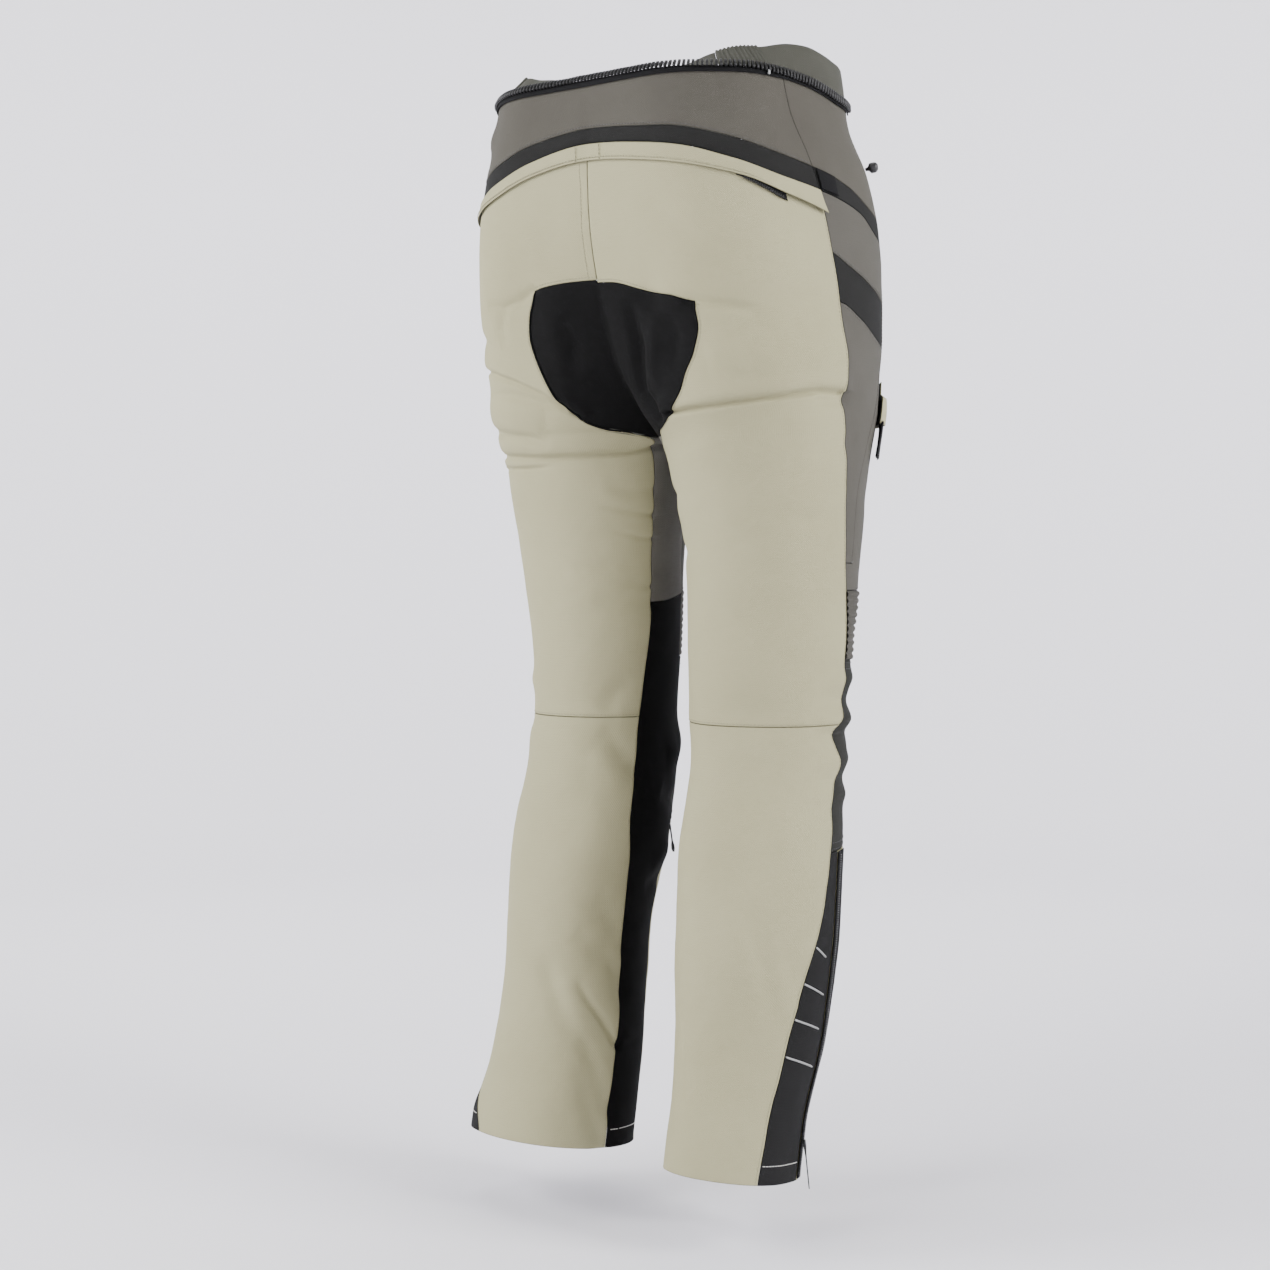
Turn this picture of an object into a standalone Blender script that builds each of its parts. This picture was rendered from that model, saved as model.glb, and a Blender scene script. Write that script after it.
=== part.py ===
"""Textile motorcycle trousers, filled out as worn and open at the waist and both hems.

Metres, +Z up. The wearer faces -Y, so the wearer's right leg is at -X.
The origin is the middle of the waist, level with the waistband seam.

Both legs share one map. A point has an angle round the leg (0 on the inside, 90 at the back,
180 on the outside, 270 at the front) and a height above the hem. Above the crotch the map goes on
as half a torso, cut at the middle plane. The seams are the map's named columns and rows, and every
cut piece is a set of the cells between them, so neighbours share the points of their seam.
"""
import bmesh
import bpy
import numpy as np

# Driving dimensions. A seam point steps in by half the gap over the sine of its corner, which counts
# as LEAST_SINE at least, and by CROTCH_EASE times as much where both legs and the seat meet.
WAIST_HEIGHT = 1.045
WALL = 0.002
SEAM_GAP = 0.0003
CROTCH_EASE = 5.0
LEAST_SINE = 0.35
LEAST_NORMAL = 0.55
MAP_STEPS = 60
MIDDLE_STEPS = 36
LAP_GAP = 0.0006
BAND_WALL = 0.0018
RIGHT, LEFT = -1, 1

# Rings round the leg and, above the crotch, round half the torso: height above the hem, the ring's
# centre out from the middle plane and back, its reach each way, how square it is, and each leg's own width
RINGS = {
    "height":      (0.012, 0.060, 0.140, 0.230, 0.320, 0.400, 0.450, 0.520, 0.600, 0.660,
                    0.700, 0.740, 0.790, 0.850, 0.910, 0.970, 1.010, 1.045),
    "out":         (0.111, 0.111, 0.112, 0.112, 0.107, 0.104, 0.103, 0.104, 0.108, 0.109,
                    0.108, 0.105, 0.102, 0.098, 0.090, 0.080, 0.070, 0.062),
    "back":        (0.066, 0.057, 0.037, 0.026, 0.013, -0.002, -0.004, -0.006, -0.005, -0.002,
                    -0.002, -0.002, -0.002, 0.000, 0.000, 0.000, 0.000, 0.000),
    "reach_in":    (0.071, 0.071, 0.072, 0.074, 0.077, 0.074, 0.074, 0.077, 0.084, 0.094,
                    0.102, 0.122, 0.160, 0.210, 0.270, 0.340, 0.390, 0.400),
    "reach_out":   (0.071, 0.071, 0.072, 0.074, 0.077, 0.074, 0.074, 0.077, 0.083, 0.088,
                    0.093, 0.099, 0.103, 0.106, 0.110, 0.112, 0.115, 0.117),
    "reach_back":  (0.074, 0.074, 0.075, 0.077, 0.079, 0.076, 0.075, 0.078, 0.084, 0.092,
                    0.103, 0.117, 0.128, 0.138, 0.146, 0.148, 0.149, 0.149),
    "reach_front": (0.074, 0.074, 0.075, 0.077, 0.079, 0.076, 0.076, 0.078, 0.084, 0.090,
                    0.098, 0.108, 0.110, 0.115, 0.116, 0.115, 0.113, 0.110),
    "square":      (2.00, 2.00, 2.00, 2.10, 2.10, 2.10, 2.10, 2.10, 2.10, 2.10,
                    2.10, 2.20, 2.30, 2.40, 2.40, 2.30, 2.20, 2.15),
    "right_width": (0.88, 0.88, 0.98, 1.03, 1.00, 0.985, 1.03, 1.02, 1.01, 1.00,
                    1.00, 1.00, 1.00, 1.00, 1.00, 1.00, 1.00, 1.00),
    "left_width":  (1.12, 1.11, 1.02, 0.97, 1.02, 1.01, 0.97, 0.98, 0.99, 1.00,
                    1.00, 1.00, 1.00, 1.00, 1.00, 1.00, 1.00, 1.00),
}

# Every seam's narrow wall is split along the edge's way in this direction, on both pieces alike
SPLIT_WAY = np.array((0.31, 0.53, 0.79))

# Seams that run up the leg: degrees round the ring at each height, and what the left side adds and
# the right side takes off
SEAMS = {
    "inner_back":  {"height": (0.00, 0.06, 0.20, 0.29, 0.34, 0.41, 0.46, 0.55, 0.66, 0.69, 0.708, 0.722,
                               0.734, 0.749, 0.766, 0.787, 0.812, 0.846, 0.90, 0.95, 1.00, 1.045),
                    "angle":  (9, 11, 11, 17, 23, 24, 20, 14, 15, 20, 33, 50,
                               65, 75, 82, 87, 90, 92, 95, 98, 102, 105),
                    "left_more": (0, 0, 0, 0, 0, 0, 0, 0, 0, 0, -1, -3,
                                  -5, -6, -6, -7, -7, -7, -4, -1, 0, 0)},
    "outer_back":  {"height": (0.00, 0.07, 0.14, 0.20, 0.27, 0.35, 0.44, 0.51, 0.56, 0.60,
                               0.66, 0.74, 0.84, 0.93, 1.00, 1.045),
                    "angle":  (149, 152, 155, 165, 180, 188, 189, 192, 187, 181,
                               177, 172, 167, 159, 154, 149)},
    "outer_front": {"height": (0.00, 0.06, 0.13, 0.22, 0.318, 0.40, 0.50, 0.56, 0.60, 0.66,
                               0.71, 0.75, 0.85, 0.95, 1.045),
                    "angle":  (206, 203, 200, 196, 196, 206, 212, 204, 189, 191,
                               200, 210, 222, 231, 238)},
    "inner_front": {"height": (0.00, 0.30, 0.56, 0.68, 0.722, 0.74, 0.79, 0.85, 0.97, 1.045),
                    "angle":  (326, 326, 331, 337, 332, 312, 299, 293, 287, 283)},
}

# Seams and lines that run round: height above the hem at each angle, and what the left side adds
# and the right side takes off
LINES = {
    "hem":         {"angle": (0, 90, 180, 270, 360), "height": (0.012, 0.022, 0.012, 0.002, 0.012)},
    "shin_top":    {"angle": (0, 150, 196, 270, 360), "height": (0.325, 0.320, 0.318, 0.330, 0.325)},
    "knee_back":   {"angle": (0, 180, 270, 360), "height": (0.438, 0.438, 0.435, 0.438)},
    "ribs_low":    {"angle": (0, 180, 270, 360), "height": (0.500, 0.500, 0.494, 0.500)},
    "ribs_top":    {"angle": (0, 60, 180, 300, 360), "height": (0.554, 0.550, 0.566, 0.566, 0.554)},
    "wedge_tip":   {"angle": (0, 180, 360), "height": (0.592, 0.592, 0.592)},
    "crotch":      {"angle": (0, 20, 48, 90, 270, 336, 360),
                    "height": (0.7165, 0.7175, 0.7215, 0.722, 0.722, 0.7175, 0.7165)},
    "patch_top":   {"angle": (40, 60, 92, 130, 168, 187, 206, 225, 260, 320),
                    "height": (0.860, 0.860, 0.846, 0.842, 0.834, 0.820, 0.804, 0.796, 0.792, 0.792),
                    "left_more": (0, 0, 0.010, 0.005, 0, 0, 0, 0, 0, 0)},
    "side_stripe": {"angle": (40, 92, 140, 163, 178, 209, 225, 260, 320),
                    "height": (0.912, 0.905, 0.892, 0.880, 0.868, 0.847, 0.840, 0.838, 0.838)},
    "band_low":    {"angle": (50, 64, 84, 105, 122, 140, 159, 190, 207, 228, 260, 320),
                    "height": (0.970, 0.969, 0.962, 0.949, 0.938, 0.926,
                               0.914, 0.897, 0.880, 0.868, 0.866, 0.866),
                    "left_more": (0, 0, -0.001, -0.004, -0.004, 0, 0, 0, 0, 0, 0, 0)},
    "stripe_low":  {"angle": (50, 64, 86, 105, 120, 140, 159, 190, 207, 228, 260, 320),
                    "height": (0.987, 0.986, 0.978, 0.966, 0.955, 0.944,
                               0.936, 0.923, 0.905, 0.894, 0.890, 0.890),
                    "left_more": (0, 0, -0.002, -0.005, -0.004, 0, 0, 0, 0, 0, 0, 0)},
    "stripe_top":  {"angle": (50, 64, 86, 105, 120, 140, 160, 184, 203, 228, 260, 320),
                    "height": (1.001, 1.000, 0.994, 0.984, 0.975, 0.966,
                               0.957, 0.944, 0.928, 0.916, 0.912, 0.912),
                    "left_more": (0, 0, -0.001, -0.005, -0.004, 0, 0, 0, 0, 0, 0, 0)},
    "tape_low":    {"angle": (50, 150, 200, 320), "height": (1.033, 1.033, 1.022, 1.018)},
    "waist":       {"angle": (50, 150, 200, 320), "height": (1.044, 1.044, 1.033, 1.029)},
    "top":         {"angle": (50, 150, 200, 320), "height": (1.084, 1.084, 1.073, 1.069)},
}

# The map: its columns and rows in order, with the cells from each one to the next
COLUMNS = (("middle_back", 4), ("inner_back", 8), ("outer_back", 4), ("outer_front", 6),
           ("inner_front", 3), ("middle_front", 0))
ROWS = (("hem", 8), ("shin_top", 3), ("knee_back", 2), ("ribs_low", 2), ("ribs_top", 1), ("wedge_tip", 5),
        ("crotch", 6), ("patch_top", 2), ("side_stripe", 2), ("band_low", 1), ("stripe_low", 1),
        ("stripe_top", 2), ("tape_low", 1), ("waist", 2), ("top", 0))

# The waistband's inward lean in degrees at each angle: soft at the centre back, where it sinks inside
WAISTBAND_LEAN = {
    "angle": (50, 70, 90, 105, 120, 145, 175, 210, 260, 320),
    "right": (86, 84, 78, 66, 40, 22, 20, 16, 10, 8),
    "left":  (86, 74, 62, 50, 34, 22, 20, 16, 10, 8),
}

# The largest folds: which side (0 both), from and to as angle and height, depth in metres (under 0
# goes in), and how wide it is to each side
FOLDS = (
    {"name": "under the seat, right", "side": RIGHT, "from": (44, 0.706), "to": (172, 0.748),
     "depth": -0.0050, "width": 0.018},
    {"name": "above it, right", "side": RIGHT, "from": (96, 0.772), "to": (168, 0.790),
     "depth": 0.0040, "width": 0.024},
    {"name": "under the seat, left", "side": LEFT, "from": (20, 0.698), "to": (128, 0.688),
     "depth": -0.0050, "width": 0.018},
    {"name": "back of the left thigh", "side": LEFT, "from": (84, 0.750), "to": (135, 0.752),
     "depth": 0.0045, "width": 0.024},
    {"name": "patch sag, right", "side": RIGHT, "from": (76, 0.838), "to": (60, 0.745),
     "depth": -0.0080, "width": 0.020},
    {"name": "patch swell, left", "side": LEFT, "from": (72, 0.835), "to": (68, 0.770),
     "depth": 0.0040, "width": 0.024},
    {"name": "behind the knee, both", "side": 0, "from": (40, 0.446), "to": (150, 0.446),
     "depth": -0.0030, "width": 0.020},
)

# Ribs of the stretch panels; edge_share is the height left at a rib's two ends
KNEE_RIBS = {"count": 8, "height": 0.0022, "edge_share": 0.0}
WAIST_RIBS = {"count": 11, "height": 0.0014, "edge_share": 0.6, "skip_cells": 3, "cells": 4}

# What lies on the panels. Walls are in metres, and the places are cells of the map from the column or
# row that each is set out from.
SEAT_BAND = {"edge": 0.02}
WAIST_TAPE = {"wall": 0.0014, "edge": 0.1, "past_outer_back": 3}
SEAT_ZIP = {"wall": 0.0012, "from": 2.9, "to": 5.2, "low": 0.20, "high": 0.03}
PLACKET = {"wall": 0.0016, "width": 1.7, "above_crotch": 4, "edge": 0.06}
TAB = {"wall": 0.0020, "width": 0.7, "low": 0.35, "high": 0.30}
POCKET = {"wall": 0.0060, "gap": 0.0009, "from": 0.3, "to": 2.9, "low": 2.2, "above_crotch": 2.4}
FLAP = {"wall": 0.0018, "gap": 0.0009, "from": 0.1, "to": 3.0, "low": 0.36, "knee": 2.6, "high": 3.6}
ANKLE_ZIP = {"wall": 0.0014, "from": 0.05, "to": 0.62, "low": 0.05}
SIDE_LOOP = {"wall": 0.0016, "from": 0.05, "to": 0.70, "edge": 0.05}

# Cord ends: the column and row that each starts from, and its sizes
CORDS = {
    "hip":   {"at": ("outer_back", 3, "stripe_top", 1), "length": 0.013, "thickness": 0.0045,
              "drop": 0.002},
    "calf":  {"at": ("inner_front", 1, "shin_top", 0), "length": 0.028, "thickness": 0.0035,
              "lift": 0.0005, "swing": 0.004},
    "ankle": {"at": ("outer_front", 0, "hem", 1), "length": 0.046, "thickness": 0.0030,
              "lift": 0.0022, "swing": 0.005},
}

COLOURS = {
    "beige cloth": (0.50, 0.48, 0.36),
    "grey cloth": (0.20, 0.19, 0.16),
    "black cloth": (0.055, 0.052, 0.050),
    "dark grey cloth": (0.045, 0.048, 0.048),
    "black stretch": (0.012, 0.012, 0.012),
    "olive waistband": (0.165, 0.163, 0.135),
    "zip tape": (0.020, 0.020, 0.020),
    "black plastic": (0.015, 0.015, 0.015),
}


def smooth(xs, ys, x):
    """A curve through the points that never overshoots them."""
    xs = np.asarray(xs, float)
    ys = np.asarray(ys, float)
    x = np.asarray(x, float)
    rise = np.diff(ys) / np.diff(xs)
    slope = np.zeros_like(ys)
    both = rise[1:] * rise[:-1] > 0
    slope[1:-1][both] = 2 * rise[1:][both] * rise[:-1][both] / (rise[1:] + rise[:-1])[both]
    slope[0], slope[-1] = rise[0], rise[-1]
    i = np.clip(np.searchsorted(xs, x) - 1, 0, len(xs) - 2)
    w = xs[i + 1] - xs[i]
    t = np.clip((x - xs[i]) / w, 0, 1)
    return ((2 * t**3 - 3 * t**2 + 1) * ys[i] + (t**3 - 2 * t**2 + t) * w * slope[i]
            + (3 * t**2 - 2 * t**3) * ys[i + 1] + (t**3 - t**2) * w * slope[i + 1])


def ring(name, height):
    return smooth(RINGS["height"], RINGS[name], height)


def ring_point(side, angle, height):
    """A point of the plain form, with no folds."""
    c = np.cos(np.radians(angle))
    s = np.sin(np.radians(angle))
    wide = ring("left_width" if side == LEFT else "right_width", height)
    reach_x = np.where(c > 0, ring("reach_in", height), ring("reach_out", height)) * wide
    deep = 0.4 + 0.6 * wide
    reach_y = np.where(s > 0, ring("reach_back", height), ring("reach_front", height)) * deep
    n = ring("square", height)
    r = (np.abs(c / reach_x) ** n + np.abs(s / reach_y) ** n) ** (-1 / n)
    x = ring("out", height) - r * c
    y = ring("back", height) + r * s
    return np.stack([side * x, y, height - WAIST_HEIGHT + 0 * x], axis=-1)


def middle_angle(height, front=False):
    """The angle at which a ring meets the middle plane; 0 below the crotch."""
    sign = -1 if front else 1
    low = np.zeros_like(height)
    high = np.full_like(height, 89.9)
    below = ring_point(LEFT, low, height)[..., 0] >= 0
    for _ in range(MIDDLE_STEPS):
        mid = (low + high) / 2
        inside = ring_point(LEFT, sign * mid, height)[..., 0] < 0
        low = np.where(inside, mid, low)
        high = np.where(inside, high, mid)
    return np.where(below, 0.0, (low + high) / 2)


def seam_angle(name, side, height):
    if name == "middle_back":
        return middle_angle(height)
    if name == "middle_front":
        return 360 - middle_angle(height, front=True)
    seam = SEAMS[name]
    angle = smooth(seam["height"], seam["angle"], height)
    if "left_more" in seam:
        angle = angle + side * smooth(seam["height"], seam["left_more"], height)
    return angle


def line_height(name, side, angle):
    line = LINES[name]
    height = smooth(line["angle"], line["height"], angle)
    if "left_more" in line:
        height = height + side * smooth(line["angle"], line["left_more"], angle)
    return height


def between(entries, position, value):
    """The value at a place on the map, part way from one named column or row to the next."""
    start = 0
    result = np.zeros_like(position)
    for (name, cells), (following, _) in zip(entries[:-1], entries[1:]):
        part = (position - start) / cells
        here = (part >= 0) & ((part < 1) | (following == entries[-1][0]))
        if here.any():
            mixed = value(name) * (1 - part) + value(following) * part
            result = np.where(here, mixed, result)
        start += cells
    return result


def index_of(entries, name):
    return sum(cells for _, cells in entries[:[n for n, _ in entries].index(name)])


def map_place(side, u, v):
    """Angle and height at column u and row v, found by stepping between the two."""
    u = np.asarray(u, float)
    v = np.asarray(v, float)
    angle = np.interp(u, [0, index_of(COLUMNS, "middle_front")], [30.0, 330.0]) + 0 * v
    height = np.interp(v, [0, index_of(ROWS, "top")], [0.0, 1.08]) + 0 * u
    for _ in range(MAP_STEPS):
        row_height = between(ROWS, v + 0 * u, lambda name: line_height(name, side, angle))
        height = (height + row_height) / 2
        column_angle = between(COLUMNS, u + 0 * v, lambda name: seam_angle(name, side, height))
        angle = (angle + column_angle) / 2
    return angle, height


def plain_surface(side, angle, height, waist):
    """The form with its waistband, which leans in above the waist seam."""
    below = np.minimum(height, waist)
    point = ring_point(side, angle, below)
    step = 0.5
    along = ring_point(side, angle + step, below) - ring_point(side, angle - step, below)
    inward = np.stack([along[..., 1], -along[..., 0], 0 * below], axis=-1) * side
    inward /= np.linalg.norm(inward, axis=-1, keepdims=True)
    inward[np.abs(point[..., 0]) < 1e-5] = (0, -1, 0)
    inward = np.where((point[..., 1:2] < 0) & (np.abs(point[..., :1]) < 1e-5), -inward, inward)
    degrees = WAISTBAND_LEAN["left" if side == LEFT else "right"]
    lean = np.radians(smooth(WAISTBAND_LEAN["angle"], degrees, angle))
    rise = np.maximum(height - waist, 0)
    point = point + inward * (rise * np.sin(lean))[..., None]
    point[..., 2] = below - WAIST_HEIGHT + rise * np.cos(lean)
    return point


def distance_to_path(points, path):
    nearest = np.full(points.shape[:-1], np.inf)
    for a, b in zip(path[:-1], path[1:]):
        t = np.clip(((points - a) @ (b - a)) / ((b - a) @ (b - a)), 0, 1)
        nearest = np.minimum(nearest, np.linalg.norm(points - a - t[..., None] * (b - a), axis=-1))
    return nearest


def fold_height(side, points):
    """How far the folds lift the cloth out of the plain form."""
    lift = np.zeros(points.shape[:-1])
    for fold in FOLDS:
        if fold["side"] in (0, side):
            steps = np.linspace(0, 1, 12)
            angle = fold["from"][0] + steps * (fold["to"][0] - fold["from"][0])
            height = fold["from"][1] + steps * (fold["to"][1] - fold["from"][1])
            near = distance_to_path(points, ring_point(side, angle, height))
            lift += fold["depth"] * np.exp(-(near / fold["width"]) ** 2)
    return lift


def cross_normal(side, right, left, up, down):
    normal = np.cross(right - left, up - down) * -side
    return normal / np.linalg.norm(normal, axis=-1, keepdims=True)


def leg_grid(side):
    """The outer points and outward normals of the whole map on one side."""
    columns = index_of(COLUMNS, "middle_front") + 1
    rows = index_of(ROWS, "top") + 1
    u, v = np.meshgrid(np.arange(columns, dtype=float), np.arange(rows, dtype=float), indexing="ij")
    angle, height = map_place(side, u, v)
    waist = line_height("waist", side, angle)
    point = plain_surface(side, angle, height, waist)
    tiny_angle, tiny_height = 1.0, 0.004
    normal = cross_normal(side,
                          plain_surface(side, angle + tiny_angle, height, waist),
                          plain_surface(side, angle - tiny_angle, height, waist),
                          plain_surface(side, angle, height + tiny_height, waist),
                          plain_surface(side, angle, height - tiny_height, waist))
    above = np.arange(rows) >= index_of(ROWS, "crotch")
    for column in (0, columns - 1):
        point[column, above, 0] = 0
        normal[column, above, 0] = 0
        length = np.linalg.norm(normal[column], axis=-1, keepdims=True)
        normal[column] = normal[column] / np.maximum(length, LEAST_NORMAL) ** 2
    point += normal * fold_height(side, point)[..., None]
    return point, normal


GRIDS = {side: leg_grid(side) for side in (RIGHT, LEFT)}
LAST_COLUMN = index_of(COLUMNS, "middle_front")
CROTCH_ROW = index_of(ROWS, "crotch")


def blend_grid(side, u, v, which=0):
    """A point (or normal, which=1) between the map's own points, on the flat cells that they make."""
    grid = GRIDS[side][which]
    i = min(int(u), grid.shape[0] - 2)
    j = min(int(v), grid.shape[1] - 2)
    a, b = u - i, v - j
    return ((1 - a) * (1 - b) * grid[i, j] + a * (1 - b) * grid[i + 1, j]
            + a * b * grid[i + 1, j + 1] + (1 - a) * b * grid[i, j + 1])


def column(name):
    return index_of(COLUMNS, name)


def row(name):
    return index_of(ROWS, name)


def point_key(side, i, j):
    """Points on the middle plane belong to both sides; below the crotch the leg closes on itself."""
    if i in (0, LAST_COLUMN):
        if j < CROTCH_ROW:
            return (side, 0, j)
        return ("back" if i == 0 else "front", 0, j)
    return (side, i, j)


def leg_key(side, i, j):
    """As point_key, for a piece of one side alone."""
    if i == LAST_COLUMN and j <= CROTCH_ROW:
        return (side, 0, j)
    return (side, i, j)


def unit(vector):
    return vector / max(np.linalg.norm(vector), 1e-9)


def inset(grid, cells, side, i, j, wrap):
    """How far a seam point steps into its own piece, to leave half the seam gap."""
    def has(a, b):
        if wrap and j <= CROTCH_ROW:
            a %= LAST_COLUMN
        return (side, a, b) in cells

    if wrap == "both" and i in (0, LAST_COLUMN) and j >= CROTCH_ROW:
        left_cells = right_cells = (has(0 if i == 0 else LAST_COLUMN - 1, j - 1),
                                    has(0 if i == 0 else LAST_COLUMN - 1, j))
    else:
        left_cells = (has(i - 1, j - 1), has(i - 1, j))
        right_cells = (has(i, j - 1), has(i, j))
    low_missing = not (left_cells[0] and right_cells[0])
    high_missing = not (left_cells[1] and right_cells[1])
    left_missing = not (left_cells[0] and left_cells[1])
    right_missing = not (right_cells[0] and right_cells[1])
    count = sum(left_cells) + sum(right_cells)
    move_u = move_v = 0
    if count == 3:
        move_u = 1 if left_missing else -1
        move_v = 1 if low_missing else -1
    else:
        if not any(left_cells):
            move_u = 1
        if not any(right_cells):
            move_u = -1
        if not (left_cells[0] or right_cells[0]):
            move_v = 1
        if not (left_cells[1] or right_cells[1]):
            move_v = -1
    here = grid[i, j]

    def neighbour(a, b):
        if wrap and j <= CROTCH_ROW:
            a %= LAST_COLUMN
        return grid[min(max(a, 0), LAST_COLUMN), min(max(b, 0), grid.shape[1] - 1)]

    toward_u = unit(neighbour(i + move_u, j) - here) if move_u else None
    toward_v = unit(neighbour(i, j + move_v) - here) if move_v else None
    step = np.zeros(3)
    along_v = unit(neighbour(i, j + 1) - neighbour(i, j - 1))
    along_u = unit(neighbour(i + 1, j) - neighbour(i - 1, j))
    if toward_u is not None:
        sine = np.linalg.norm(np.cross(toward_u, toward_v if toward_v is not None else along_v))
        step = step + toward_u * SEAM_GAP / 2 / max(sine, LEAST_SINE)
    if toward_v is not None:
        sine = np.linalg.norm(np.cross(toward_v, toward_u if toward_u is not None else along_u))
        step = step + toward_v * SEAM_GAP / 2 / max(sine, LEAST_SINE)
    if wrap == "both" and i in (0, LAST_COLUMN) and j == CROTCH_ROW:
        step = step * CROTCH_EASE
    return step


class Shell:
    """A wall: outer points, inner points and the cells between, closed round its edge."""

    def __init__(self):
        self.outer, self.inner, self.cells = {}, {}, []

    def add(self, keys):
        self.cells.append(tuple(keys))

    def mesh(self, name):
        order = {key: n for n, key in enumerate(self.outer)}
        count = len(order)
        points = list(self.outer.values()) + [self.inner[key] for key in order]
        faces = []
        edges = {}
        for a, b, c, d in self.cells:
            corners = [order[k] for k in (a, b, c, d)]
            w, x, y, z = (points[n] for n in corners)
            if np.linalg.norm(w - y) <= np.linalg.norm(x - z) + 1e-5:
                halves = ((0, 1, 2), (0, 2, 3))
            else:
                halves = ((1, 2, 3), (1, 3, 0))
            for half in halves:
                tri = tuple(corners[n] for n in half)
                faces.append(tri)
                faces.append(tuple(count + n for n in reversed(tri)))
            for p, q in zip(corners, corners[1:] + corners[:1]):
                if edges.pop((q, p), None) is None:
                    edges[(p, q)] = True
        for p, q in edges:
            if (points[q] - points[p]) @ SPLIT_WAY > 0:
                faces.append((q, p, count + p))
                faces.append((q, count + p, count + q))
            else:
                faces.append((q, p, count + q))
                faces.append((p, count + p, count + q))
        mesh = bpy.data.meshes.new(name)
        mesh.from_pydata([tuple(map(float, p)) for p in points], [], faces)
        body = bmesh.new()
        body.from_mesh(mesh)
        bmesh.ops.recalc_face_normals(body, faces=body.faces)
        body.to_mesh(mesh)
        body.free()
        return mesh


def panel_mesh(name, blocks, sides):
    """A cut piece from blocks of the map: columns from and to, rows from and to."""
    cells = {(side, i, j) for side in sides for c0, c1, r0, r1 in blocks
             for i in range(c0, c1) for j in range(r0, r1)}
    wrap = "both" if len(sides) == 2 else "leg"
    key_of = point_key if len(sides) == 2 else leg_key
    shell = Shell()
    for side, i, j in sorted(cells):
        corners = [(i, j), (i + 1, j), (i + 1, j + 1), (i, j + 1)]
        if side == LEFT:
            corners[1], corners[3] = corners[3], corners[1]
        for a, b in corners:
            key = key_of(side, a, b)
            if key not in shell.outer:
                grid, normal = GRIDS[side]
                point = grid[a, b] + inset(grid, cells, side, a, b, wrap)
                if len(sides) == 1 and abs(point[0]) < SEAM_GAP / 2:
                    point[0] = side * SEAM_GAP / 2
                shell.outer[key] = point
                shell.inner[key] = point - normal[a, b] * WALL
                if len(sides) == 1 and abs(shell.inner[key][0]) < SEAM_GAP / 2:
                    shell.inner[key][0] = side * SEAM_GAP / 2
        shell.add([key_of(side, a, b) for a, b in corners])
    return shell.mesh(name)


def lap_mesh(name, sides, us, vs, lift, wall):
    """A piece that lies on a panel, from the panel's own points moved out by lift, which may be a
    function of the row."""
    shell = Shell()
    for side in sides:
        for a, u in enumerate(us):
            for b, v in enumerate(vs):
                on_middle = len(sides) == 2 and u in (0, LAST_COLUMN)
                key = ("middle", u, b) if on_middle else (side, a, b)
                if key in shell.outer:
                    continue
                point = blend_grid(side, u, v)
                normal = blend_grid(side, u, v, 1)
                if len(sides) == 1 and abs(point[0]) < SEAM_GAP / 2:
                    point = point + (side * SEAM_GAP / 2, 0, 0)
                base = lift(v) if callable(lift) else lift
                shell.inner[key] = point + normal * base
                shell.outer[key] = point + normal * (base + wall)
        for a in range(len(us) - 1):
            for b in range(len(vs) - 1):
                corners = [(a, b), (a + 1, b), (a + 1, b + 1), (a, b + 1)]
                if side == LEFT:
                    corners[1], corners[3] = corners[3], corners[1]
                keys = []
                for p, q in corners:
                    on_middle = len(sides) == 2 and us[p] in (0, LAST_COLUMN)
                    keys.append(("middle", us[p], q) if on_middle else (side, p, q))
                shell.add(keys)
    return shell.mesh(name)


def ribbed_mesh(name, side, block, ribs, along_rows):
    """A stretch panel whose ribs are raised in its outer points over a plain inside."""
    c0, c1, r0, r1 = block
    steps = 2 * ribs["count"]
    fine = np.linspace(r0 if along_rows else c0, r1 if along_rows else c1, steps + 1)
    us = list(range(c0, c1 + 1)) if along_rows else list(fine)
    vs = list(fine) if along_rows else list(range(r0, r1 + 1))
    shell = Shell()
    for a, u in enumerate(us):
        for b, v in enumerate(vs):
            point = blend_grid(side, u, v)
            normal = blend_grid(side, u, v, 1)
            if a in (0, len(us) - 1):
                near = blend_grid(side, us[1] if a == 0 else us[-2], v)
                point = point + unit(near - point) * SEAM_GAP / 2
            if b in (0, len(vs) - 1):
                near = blend_grid(side, u, vs[1] if b == 0 else vs[-2])
                point = point + unit(near - point) * SEAM_GAP / 2
            rib = (b if along_rows else a) % 2 == 1
            inside = 0 < (a if along_rows else b) < (len(us) if along_rows else len(vs)) - 1
            share = 1.0 if inside else ribs["edge_share"]
            raised = ribs["height"] * share if rib else 0
            shell.inner[(a, b)] = point - normal * WALL
            shell.outer[(a, b)] = point + normal * raised
    for a in range(len(us) - 1):
        for b in range(len(vs) - 1):
            corners = [(a, b), (a + 1, b), (a + 1, b + 1), (a, b + 1)]
            if side == LEFT:
                corners[1], corners[3] = corners[3], corners[1]
            shell.add(corners)
    return shell.mesh(name)


def material(name):
    made = bpy.data.materials.get(name)
    if made is None:
        made = bpy.data.materials.new(name)
        made.use_nodes = True
        shader = made.node_tree.nodes["Principled BSDF"]
        shader.inputs["Base Color"].default_value = (*COLOURS[name], 1)
        shader.inputs["Roughness"].default_value = 0.45 if "plastic" in name else 0.85
        shader.inputs["Metallic"].default_value = 0.0
    return made


def add_object(name, mesh, finish, collection):
    own = material(finish).copy()
    own.name = name + "_" + finish.replace(" ", "_")
    mesh.materials.clear()
    mesh.materials.append(own)
    made = bpy.data.objects.new(name, mesh)
    collection.objects.link(made)
    return made


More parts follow.
